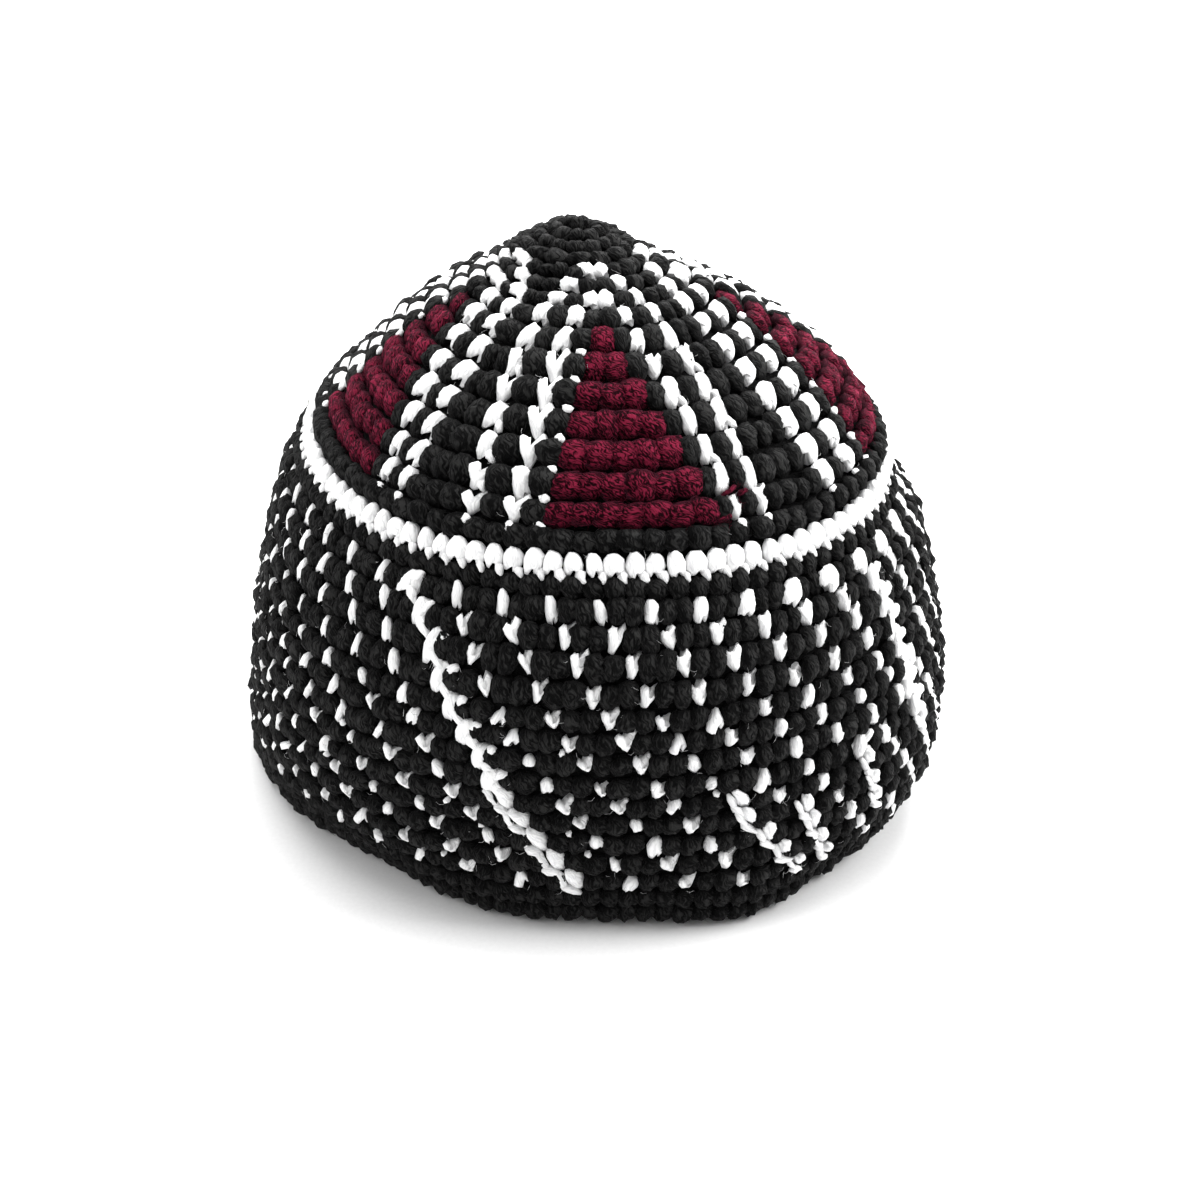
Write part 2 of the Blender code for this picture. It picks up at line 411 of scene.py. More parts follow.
@dataclass
class StitchModeller:
    """Models one stitch of each shape with Blender's own tools, from a ball of size one.

    The ball's poles are its top and its foot. Points are chosen by their ring's height and their side.
    """

    sides: int = 12
    rings: int = 6
    ring_heights: tuple[float, ...] = (-0.43, -0.25, 0.25, 0.43)
    ring_near: float = 0.08
    pole: float = 0.49
    middle_line: float = 0.1
    flute: float = 0.075
    twist: float = 1.1
    strand_sides: int = 7
    strand_rings: int = 5

    def model(self, shape: Shape) -> StitchModel:
        """Models one stitch.

        Args:
            shape: the stitch's shape.

        Returns:
            Its points, its faces and the run of its yarn.
        """
        makers: dict[Shape, Callable[[], bpy.types.Object]] = {
            Shape.BEAN: self.bean,
            Shape.PAD: self.pad,
            Shape.FORK: self.fork,
            Shape.STRAND: self.strand,
        }
        piece = makers[shape]()
        bpy.ops.object.mode_set(mode="OBJECT")
        model = self.read(piece)
        bpy.data.objects.remove(piece, do_unlink=True)
        return model

    def bean(self) -> bpy.types.Object:
        """A plump barrel of twisted plies, drawn a little narrower towards its foot."""
        piece = self.ball(self.sides, self.rings)
        self.scale(piece, self.beside_middle, 1.1)
        self.scale(piece, self.beside_pole, 1.34, 1.04)
        self.scale(piece, self.on_ply, 1 + self.flute, 1 + self.flute)
        self.scale(piece, self.between_plies, 1 - self.flute, 1 - self.flute)
        for height in self.ring_heights:
            self.select(piece, lambda point, level=height: abs(point.z - level) < self.ring_near)
            bpy.ops.transform.rotate(value=height * self.twist, orient_axis="Z", center_override=(0, 0, 0))
        self.scale(piece, lambda point: point.z < -0.1, 0.92, 0.94)
        return piece

    def pad(self) -> bpy.types.Object:
        """A plump white stitch: narrower at its top, with a notch at its foot between two short legs."""
        line = self.middle_line
        piece = self.ball(self.sides, self.rings)
        self.scale(piece, self.beside_middle, 1.1)
        self.scale(piece, self.beside_pole, 1.34, 1.1)
        self.scale(piece, lambda point: point.z > 0.1, 0.88)
        self.scale(piece, lambda point: point.z > 0.38, 0.74)
        self.move(piece, lambda point: point.z < -0.3 and abs(point.x) > line, (0.0, 0.0, -0.07))
        self.move(piece, lambda point: point.z < -0.3 and abs(point.x) < line, (0.02, 0.06, 0.27))
        self.move(piece, lambda point: point.z > 0.3 and point.x < -line, (-0.03, 0.0, 0.03))
        self.move(piece, lambda point: abs(point.z) < 0.35 and abs(point.x) < line and point.y < 0, (0.0, 0.05, 0.0))
        return piece

    def fork(self) -> bpy.types.Object:
        """A small white stitch whose two legs part at its top, the right one longer, and meet in a blunt foot."""
        line = self.middle_line
        piece = self.ball(self.sides, self.rings)
        self.scale(piece, lambda point: point.z > 0.2, 1.3, 1.05)
        self.scale(piece, lambda point: point.z < -0.1, 0.6, 0.95)
        self.move(piece, lambda point: point.z > 0.2 and abs(point.x) < line, (-0.08, 0.08, -0.3))
        self.move(piece, lambda point: point.z > 0.1 and point.x > line, (0.14, 0.0, 0.13))
        self.move(piece, lambda point: point.z > 0.1 and point.x < -line, (-0.02, 0.02, -0.04))
        return piece

    def strand(self) -> bpy.types.Object:
        """A single leg of yarn: a long ball, fuller above the middle and drawn to a blunt point below."""
        piece = self.ball(self.strand_sides, self.strand_rings)
        self.scale(piece, lambda point: point.z < -0.05, 0.8, 0.85)
        self.scale(piece, lambda point: point.z > 0.2, 1.12, 1.1)
        return piece

    @staticmethod
    def beside_middle(point: Vector) -> bool:
        """Whether a point lies on one of the two rings next to the middle one."""
        return 0.2 < abs(point.z) < 0.3

    def beside_pole(self, point: Vector) -> bool:
        """Whether a point lies on one of the two rings next to the poles."""
        return 0.4 < abs(point.z) < self.pole

    def on_ply(self, point: Vector) -> bool:
        """Whether a point of the barrel lies on the crest of a ply."""
        step = math.tau / self.sides
        return abs(point.z) < self.pole and round(math.atan2(point.y, point.x) / step) % 2 == 0

    def between_plies(self, point: Vector) -> bool:
        """Whether a point of the barrel lies in the groove between two plies."""
        return abs(point.z) < self.pole and not self.on_ply(point)

    @staticmethod
    def ball(sides: int, rings: int) -> bpy.types.Object:
        """A ball of size one, in edit mode.

        Args:
            sides: how many sides it has.
            rings: how many rings of faces it has.

        Returns:
            The ball.
        """
        deselect()
        bpy.ops.mesh.primitive_uv_sphere_add(segments=sides, ring_count=rings, radius=0.5)
        piece = bpy.context.object
        bpy.ops.object.mode_set(mode="EDIT")
        return piece

    @staticmethod
    def select(piece: bpy.types.Object, wanted: Wanted) -> None:
        """Selects the points of a piece in edit mode by their place.

        Args:
            piece: the piece in edit mode.
            wanted: says of a point whether it is selected.
        """
        bm = bmesh.from_edit_mesh(piece.data)
        for vertex in bm.verts:
            vertex.select_set(wanted(vertex.co))
        bm.select_flush_mode()
        bmesh.update_edit_mesh(piece.data)

    def scale(self, piece: bpy.types.Object, wanted: Wanted, wide: float, deep: float = 1.0) -> None:
        """Scales chosen points of a piece.

        Args:
            piece: the piece in edit mode.
            wanted: says of a point whether it is scaled.
            wide: the scale from left to right.
            deep: the scale from front to back.
        """
        self.select(piece, wanted)
        bpy.ops.transform.resize(value=(wide, deep, 1.0))

    def move(self, piece: bpy.types.Object, wanted: Wanted, way: tuple[float, float, float]) -> None:
        """Moves chosen points of a piece.

        Args:
            piece: the piece in edit mode.
            wanted: says of a point whether it is moved.
            way: how far it is moved to the right, back and up.
        """
        self.select(piece, wanted)
        bpy.ops.transform.translate(value=way)

    @staticmethod
    def read(piece: bpy.types.Object) -> StitchModel:
        """Reads a modelled stitch and lays the run of the yarn over it, from its foot to its top.

        Args:
            piece: the modelled stitch.

        Returns:
            The stitch as points and faces, with how far along and around its yarn each point lies.
        """
        points = np.array([vertex.co for vertex in piece.data.vertices])
        corners = [tuple(face.vertices) for face in piece.data.polygons]
        x, y, z = points.T
        return StitchModel(points, corners, z, np.arctan2(x, -y) / math.tau)


@dataclass(frozen=True)
class PieceData:
    """Points and faces of part of a piece, with the run of the yarn, a random tone and a height for each point; a low
    height gets painted shade.
    """

    points: np.ndarray
    corners: list[tuple[int, ...]]
    along_yarn: np.ndarray
    around_yarn: np.ndarray
    shade: np.ndarray
    # How far out each point stands; the finishes darken the low ones with painted shade.
    raised: np.ndarray


def lay_yarn_run(mesh: bpy.types.Mesh, run: np.ndarray) -> None:
    """Gives a mesh its yarn run, from how far around and along the yarn each of its points lies."""
    corners = np.zeros(len(mesh.loops), dtype=np.int32)
    mesh.loops.foreach_get("vertex_index", corners)
    layer = mesh.uv_layers.new(name="yarn_run")
    layer.data.foreach_set("uv", run[corners].astype(np.float32).ravel())


def lay_values(mesh: bpy.types.Mesh, label: str, values: np.ndarray) -> None:
    """Gives a mesh one value for each of its points, under a name that its material reads."""
    attribute = mesh.attributes.new(label, "FLOAT", "POINT")
    attribute.data.foreach_set("value", values.astype(np.float32))


def join_piece(name: str, parts: list[PieceData], material: bpy.types.Material) -> bpy.types.Object:
    """Joins parts into one smooth mesh object that rides on the cap.

    Args:
        name: the piece's name.
        parts: what goes into it.
        material: its finish.

    Returns:
        The finished piece.
    """
    faces: list[tuple[int, ...]] = []
    start = 0
    for part in parts:
        faces += [tuple(corner + start for corner in face) for face in part.corners]
        start += len(part.points)
    mesh = bpy.data.meshes.new(name)
    mesh.from_pydata(np.concatenate([part.points for part in parts]).tolist(), [], faces)
    around = np.concatenate([part.around_yarn for part in parts])
    along = np.concatenate([part.along_yarn for part in parts])
    lay_yarn_run(mesh, np.stack([around, along], -1))
    # Random tones, and the heights that set painted shade in the finishes.
    for label in ("shade", "raised"):
        lay_values(mesh, label, np.concatenate([getattr(part, label) for part in parts]))
    mesh.shade_smooth()
    mesh.materials.append(material)
    piece = bpy.data.objects.new(name, mesh)
    bpy.context.scene.collection.objects.link(piece)
    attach(piece, BODY)
    LOG.info("%s: %d points, %d faces", name, len(mesh.vertices), len(mesh.polygons))
    return piece


class Stitch(NamedTuple):
    """One stitch on the fabric. Lengths are in metres, and angles in radians."""

    at: float
    angle: float
    width: float
    height: float
    thickness: float
    depth: float
    yarn: Yarn
    shape: Shape
    slant: float = 0.0
    tilt: float = 0.0
    yaw: float = 0.0


NUMBERS = [name for name in Stitch._fields if name not in ("yarn", "shape")]


def turned(first: np.ndarray, second: np.ndarray, angle: np.ndarray) -> tuple[np.ndarray, np.ndarray]:
    """Two directions, turned by an angle in their own plane."""
    return first * np.cos(angle) - second * np.sin(angle), second * np.cos(angle) + first * np.sin(angle)


@dataclass
class StitchLayer:
    """Stitches that are copied onto the fabric together, as the pieces of one section."""

    models: dict[Shape, StitchModel]
    inside: bool = False
    roughness: float = 0.00012
    stitches: list[Stitch] = field(default_factory=list)

    def piece(self, name: str, yarn: Yarn, material: bpy.types.Material, slot: str) -> bpy.types.Object:
        """Joins the stitches of one yarn into one piece.

        Args:
            name: the piece's name.
            yarn: which stitches go into it.
            material: the yarn's finish.
            slot: the record's material slot, which is not used.

        Returns:
            The piece, riding on the cap's body.
        """
        parts = []
        for shape, model in self.models.items():
            chosen = [stitch for stitch in self.stitches if stitch.yarn is yarn and stitch.shape is shape]
            if chosen:
                parts.append(self.copies(model, chosen))
        return join_piece(name, parts, material)

    def copies(self, model: StitchModel, chosen: list[Stitch]) -> PieceData:
        """Copies one model onto the fabric, once for each stitch.

        Args:
            model: the modelled stitch.
            chosen: the stitches that have its shape.

        Returns:
            The copies' points, faces and yarn run, with a random tone for each copy and a height for each point that
            sets its painted shade.
        """
        column = {name: np.array([getattr(stitch, name) for stitch in chosen])[:, None] for name in NUMBERS}
        places = FORM.places(column["at"][:, 0], column["angle"][:, 0])
        side = -1 if self.inside else 1
        out = places.out * side
        right = places.right * side
        up = places.up
        right, out = turned(right, out, column["yaw"])
        right, up = turned(right, up, column["slant"])
        up, out = turned(up, out, -column["tilt"])
        axes = [right * column["width"], -out * column["thickness"], up * column["height"]]
        origin = places.origin - places.out * column["depth"]
        points = origin[:, None, :] + np.einsum("pk,skc->spc", model.points, np.stack(axes, axis=1))
        points = points + SEED.normal(0, self.roughness, points.shape)
        points[..., 2] = np.maximum(points[..., 2], PRESSED_FLAT)
        count = len(model.points)
        starts = [count * number for number in range(len(chosen))]
        length = column["height"] / MILLIMETRE
        shade = SEED.uniform(0, 1, len(chosen))
        # Painted shade: points towards the stitch's back, where it sinks into the fabric, get a low value and a darker
        # colour.
        raised = np.clip(0.5 - model.points[:, 1], 0, 1)
        return PieceData(
            points.reshape(-1, 3),
            [tuple(corner + start for corner in face) for start in starts for face in model.corners],
            (model.along_yarn[None, :] * length).ravel(),
            np.tile(model.around_yarn, len(chosen)),
            np.repeat(shade, count),
            np.tile(raised, len(chosen)),
        )


@dataclass(frozen=True)
class NodeBench:
    """Places and joins small nodes in one node tree."""

    tree: bpy.types.NodeTree

    def set_or_link(self, socket: Socket, value: Value) -> None:
        """Joins a socket to an output, or sets its number."""
        if isinstance(value, (int, float)):
            socket.default_value = value
        else:
            self.tree.links.new(value, socket)

    def maths(self, operation: str, first: Value, second: Value = 0.0) -> Socket:
        """A sum of one or two values.

        Args:
            operation: the Math node's operation.
            first: a socket or a number.
            second: a socket or a number.

        Returns:
            The result's socket.
        """
        node = self.tree.nodes.new("ShaderNodeMath")
        node.operation = operation
        self.set_or_link(node.inputs[0], first)
        self.set_or_link(node.inputs[1], second)
        return node.outputs[0]

    def add(self, first: Value, second: Value) -> Socket:
        """Two values added."""
        return self.maths("ADD", first, second)

    def times(self, first: Value, second: Value) -> Socket:
        """Two values multiplied."""
        return self.maths("MULTIPLY", first, second)

    def vector(self, *parts: Value) -> Socket:
        """A vector put together from three values."""
        node = self.tree.nodes.new("ShaderNodeCombineXYZ")
        for socket, part in zip(node.inputs, parts):
            self.set_or_link(socket, part)
        return node.outputs[0]

    def attribute(self, name: str) -> Socket:
        """The value of a piece's attribute at each point."""
        node = self.tree.nodes.new("ShaderNodeAttribute")
        node.attribute_name = name
        return node.outputs["Fac"]

    def noise(self, place: Socket, scale: float, detail: float) -> Socket:
        """Noise at a place.

        Args:
            place: the vector that the noise is read at.
            scale: its scale.
            detail: how many finer layers it has.

        Returns:
            The noise as a value.
        """
        node = self.tree.nodes.new("ShaderNodeTexNoise")
        node.inputs["Scale"].default_value = scale
        node.inputs["Detail"].default_value = detail
        self.tree.links.new(place, node.inputs["Vector"])
        return node.outputs["Fac"]

    def ramp(self, value: Socket, stops: Sequence[tuple[float, Colour]]) -> Socket:
        """A colour that follows a value.

        Args:
            value: the socket that is followed.
            stops: places from 0 to 1, each with a linear colour.

        Returns:
            The colour's socket.
        """
        node = self.tree.nodes.new("ShaderNodeValToRGB")
        elements = node.color_ramp.elements
        while len(elements) < len(stops):
            elements.new(0.5)
        for element, (place, colour) in zip(elements, stops):
            element.position = place
            element.color = (*colour, 1.0)
        self.tree.links.new(value, node.inputs["Fac"])
        return node.outputs["Color"]


@dataclass(frozen=True)
class YarnTwist:
    """A shader group that draws the leaning strands and fibres of yarn along a piece's yarn run.

    Lengths are in millimetres of yarn, and the two stretches say how much slower the noise changes along it.
    """

    name: str = "yarn_twist"
    girth: float = 14.0
    own_spread: float = 41.0
    warp_scale: float = 0.45
    warp_size: float = 2.4
    strand_stretch: float = 0.22
    fibre_stretch: float = 0.14
    groove_slope: float = 8.0
    strand_height: float = 0.6
    fuzz_height: float = 0.7

    def group(self) -> bpy.types.NodeTree:
        """Builds the group.

        Returns:
            A node group with the inputs Run, Shade, Strands, Lean and Fibres and the outputs Strand, Fuzz and Height.
        """
        tree = bpy.data.node_groups.new(self.name, "ShaderNodeTree")
        face = tree.interface
        face.new_socket("Run", in_out="INPUT", socket_type="NodeSocketVector")
        face.new_socket("Shade", in_out="INPUT", socket_type="NodeSocketFloat")
        for label, value in (("Strands", 1.1), ("Lean", 0.5), ("Fibres", 5.0)):
            face.new_socket(label, in_out="INPUT", socket_type="NodeSocketFloat").default_value = value
        for label in ("Strand", "Fuzz", "Height"):
            face.new_socket(label, in_out="OUTPUT", socket_type="NodeSocketFloat")
        bench = NodeBench(tree)
        entry = tree.nodes.new("NodeGroupInput")
        leave = tree.nodes.new("NodeGroupOutput")
        split = tree.nodes.new("ShaderNodeSeparateXYZ")
        tree.links.new(entry.outputs["Run"], split.inputs[0])
        run = split.outputs["Y"]
        lean = entry.outputs["Lean"]
        own = bench.times(entry.outputs["Shade"], self.own_spread)
        across = bench.times(split.outputs["X"], self.girth)
        turned_run = bench.add(across, bench.times(run, lean))
        lengthwise = bench.maths("SUBTRACT", run, bench.times(across, lean))
        warp = bench.noise(bench.vector(across, run, own), self.warp_scale, 1.0)
        bent = bench.add(turned_run, bench.times(warp, self.warp_size))
        strands = self.drawn(bench, (bent, lengthwise, own), entry.outputs["Strands"], self.strand_stretch)
        edge = bench.maths("ABSOLUTE", bench.maths("SUBTRACT", bench.noise(strands, 1.0, 1.0), 0.5))
        strand = bench.maths("MINIMUM", bench.times(edge, self.groove_slope), 1.0)
        fibres = self.drawn(bench, (bent, lengthwise, own), entry.outputs["Fibres"], self.fibre_stretch)
        fuzz = bench.noise(fibres, 1.0, 3.0)
        height = bench.add(bench.times(strand, self.strand_height), bench.times(fuzz, self.fuzz_height))
        for label, socket in (("Strand", strand), ("Fuzz", fuzz), ("Height", height)):
            tree.links.new(socket, leave.inputs[label])
        return tree

    @staticmethod
    def drawn(bench: NodeBench, place: tuple[Socket, Socket, Socket], often: Socket, stretch: float) -> Socket:
        """A place for noise that is drawn out along the yarn.

        Args:
            bench: the node bench of the group.
            place: millimetres across the strands and along them, and a value of the stitch's own.
            often: how many strands lie in a millimetre.
            stretch: how much slower the noise changes along the strands.

        Returns:
            The place as a vector socket.
        """
        across, lengthwise, own = place
        along = bench.times(bench.times(lengthwise, often), stretch)
        return bench.vector(bench.times(across, often), along, own)


@dataclass(frozen=True)
class YarnFinish:
    """The finish of one yarn: its colours from painted shade between the plies, through the yarn's own colour, to a
    painted highlight on its fibres, and how it is twisted.

    The colour follows a mix of strands, fuzz and the stitch's own random tone, and is darkened with painted shade deep
    in a stitch, where it sinks into the fabric.
    """

    name: str
    # Painted shade between the plies and deep in a stitch
    painted_shade_colour: Colour
    body: Colour
    # Painted highlight on the fibres
    painted_highlight_colour: Colour
    smooth: float
    rough: float
    sheen: float
    strands: float
    lean: float
    fibres: float
    relief: float
    gloss: float = 0.1
    sheen_tint: Colour = (1.0, 1.0, 1.0)
    sheen_spread: float = 0.3
    strand_share: float = 0.38
    fuzz_share: float = 0.6
    own_share: float = 0.08
    # Painted shade deep in a stitch: the colour is scaled by the first share times how far out a point stands, plus the
    # second.
    painted_shade_rise: float = 0.72
    painted_shade_least: float = 0.3
    stops: tuple[float, float, float] = (0.2, 0.45, 0.74)
    relief_depth: float = 0.0004

    def material(self, twist_group: bpy.types.NodeTree) -> bpy.types.Material:
        """Builds the yarn's material.

        Args:
            twist_group: the shared yarn group.

        Returns:
            The material.
        """
        material = bpy.data.materials.new(self.name)
        material.use_nodes = True
        tree = material.node_tree
        bench = NodeBench(tree)
        shader = tree.nodes["Principled BSDF"]
        run = tree.nodes.new("ShaderNodeUVMap")
        run.uv_map = "yarn_run"
        shade = bench.attribute("shade")
        raised = bench.attribute("raised")
        twist = tree.nodes.new("ShaderNodeGroup")
        twist.node_tree = twist_group
        tree.links.new(run.outputs["UV"], twist.inputs["Run"])
        tree.links.new(shade, twist.inputs["Shade"])
        twist.inputs["Strands"].default_value = self.strands
        twist.inputs["Lean"].default_value = self.lean
        twist.inputs["Fibres"].default_value = self.fibres
        # Painted shade and highlight: the grooves between strands pull the colour down towards the dark first stop, and
        # the fuzz pulls it up towards the bright last stop.
        mixed = bench.times(twist.outputs["Strand"], self.strand_share)
        mixed = bench.add(mixed, bench.times(twist.outputs["Fuzz"], self.fuzz_share))
        mixed = bench.add(mixed, bench.times(shade, self.own_share))
        # Painted shade: the colour is darker where the stitch sinks into the fabric.
        mixed = bench.times(mixed, bench.add(bench.times(raised, self.painted_shade_rise), self.painted_shade_least))
        # Painted shade at the first stop, the yarn's own colour in the middle, and a painted highlight on the fibres at
        # the last.
        colour = bench.ramp(mixed, list(zip(self.stops, (self.painted_shade_colour, self.body, self.painted_highlight_colour))))
        tree.links.new(colour, shader.inputs["Base Color"])
        span = tree.nodes.new("ShaderNodeMapRange")
        span.inputs["To Min"].default_value = self.smooth
        span.inputs["To Max"].default_value = self.rough
        tree.links.new(twist.outputs["Fuzz"], span.inputs["Value"])
        tree.links.new(span.outputs["Result"], shader.inputs["Roughness"])
        bump = tree.nodes.new("ShaderNodeBump")
        bump.inputs["Strength"].default_value = self.relief
        bump.inputs["Distance"].default_value = self.relief_depth
        tree.links.new(twist.outputs["Height"], bump.inputs["Height"])
        tree.links.new(bump.outputs["Normal"], shader.inputs["Normal"])
        shader.inputs["Specular IOR Level"].default_value = self.gloss
        shader.inputs["Sheen Weight"].default_value = self.sheen
        shader.inputs["Sheen Roughness"].default_value = self.sheen_spread
        shader.inputs["Sheen Tint"].default_value = (*self.sheen_tint, 1.0)
        return material


BLACK_FINISH = YarnFinish(
    name="black_cotton",
    # Painted shade between the plies and deep in each stitch
    painted_shade_colour=(0.0002, 0.0002, 0.0002),
    body=(0.0004, 0.0004, 0.0005),
    # Painted highlight on the fibres
    painted_highlight_colour=(0.022, 0.0218, 0.0214),
    smooth=0.5,
    rough=0.85,
    sheen=0.03,
    strands=1.3,
    lean=0.5,
    fibres=6.5,
    relief=1.0,
    gloss=0.06,
)

WHITE_FINISH = YarnFinish(
    name="white_cotton",
    # Painted shade between the plies and deep in each stitch
    painted_shade_colour=(0.68, 0.68, 0.69),
    body=(0.9, 0.9, 0.9),
    # Painted highlight on the fibres
    painted_highlight_colour=(0.97, 0.97, 0.965),
    smooth=0.75,
    rough=0.95,
    sheen=0.1,
    strands=0.8,
    lean=0.3,
    fibres=4.0,
    relief=0.6,
    gloss=0.2,
)

BURGUNDY_FINISH = YarnFinish(
    name="burgundy_cotton",
    # Painted shade between the plies and deep in each stitch
    painted_shade_colour=(0.003, 0.0002, 0.0008),
    body=(0.009, 0.0005, 0.002),
    # Painted highlight on the fibres
    painted_highlight_colour=(0.18, 0.012, 0.034),
    smooth=0.6,
    rough=0.95,
    sheen=0.1,
    strands=2.1,
    lean=0.8,
    fibres=9.0,
    relief=0.9,
    gloss=0.02,
    sheen_tint=(1.0, 0.25, 0.42),
)


class FigureRow(NamedTuple):
    """One round of a crown motif: its stitches from left to right, then the black gap before the next motif.

    In the figure W is white, B black and R burgundy. The gap is given as stitches and as degrees, and the
    motif's axis as degrees to the right of the front.
    """

    count: int
    figure: str
    gap: int
    gap_degrees: float
    axis_degrees: float = 4.6


FIGURE_ROWS = [
    FigureRow(1, "", 1, 72.0),
    FigureRow(2, "", 2, 72.0),
    FigureRow(3, "", 3, 72.0),
    FigureRow(4, "", 3, 72.0),
    FigureRow(5, "WW", 2, 45.0, 11.0),
    FigureRow(6, "WBBW", 1, 23.0, 9.0),
    FigureRow(7, "WBWWBW", 1, 12.5, 8.0),
    FigureRow(8, "WBWBBWBW", 1, 7.0, 6.5),
    FigureRow(9, "WBWBRBWBW", 1, 6.8),
    FigureRow(10, "WBWBRRBWBW", 1, 6.4),
    FigureRow(11, "WBWBRRRBWBW", 1, 6.6),
    FigureRow(12, "WBWBRRRRBWBW", 2, 7.8),
    FigureRow(13, "WBWBRRRRRBWBW", 2, 8.6),
    FigureRow(14, "WBWBRRRRRRBWBW", 2, 9.3),
    FigureRow(15, "WBWBRRRRRRRBWBW", 2, 10.0),
    FigureRow(16, "", 18, 72.0),
]

YARN_OF_LETTER = {"W": Yarn.WHITE, "B": Yarn.BLACK, "R": Yarn.BURGUNDY}


@dataclass
class Yarns:
    """The finishes of the three yarns, ready to be put on pieces."""

    black: bpy.types.Material
    white: bpy.types.Material
    burgundy: bpy.types.Material

    def of(self, yarn: Yarn) -> bpy.types.Material:
        """The finish of one yarn."""
        return {Yarn.BLACK: self.black, Yarn.WHITE: self.white, Yarn.BURGUNDY: self.burgundy}[yarn]


class Room(NamedTuple):
    """The room of a stitch: its place in rounds from the tip, its direction, and the turn and size it may take."""

    count: float
    angle: float
    turn: float
    width: float
    height: float


class Look(NamedTuple):
    """How white yarn lies in its room.

    It is moved by `down` rounds and by `across` of its turn, its size is `wide` and `high` of the room's, and
    it is turned by `slant` radians. The depth is a strand's alone.
    """

    down: float = 0.0
    across: float = 0.0
    wide: float = 1.0
    high: float = 1.0
    slant: float = 0.0
    depth: float = 0.0009


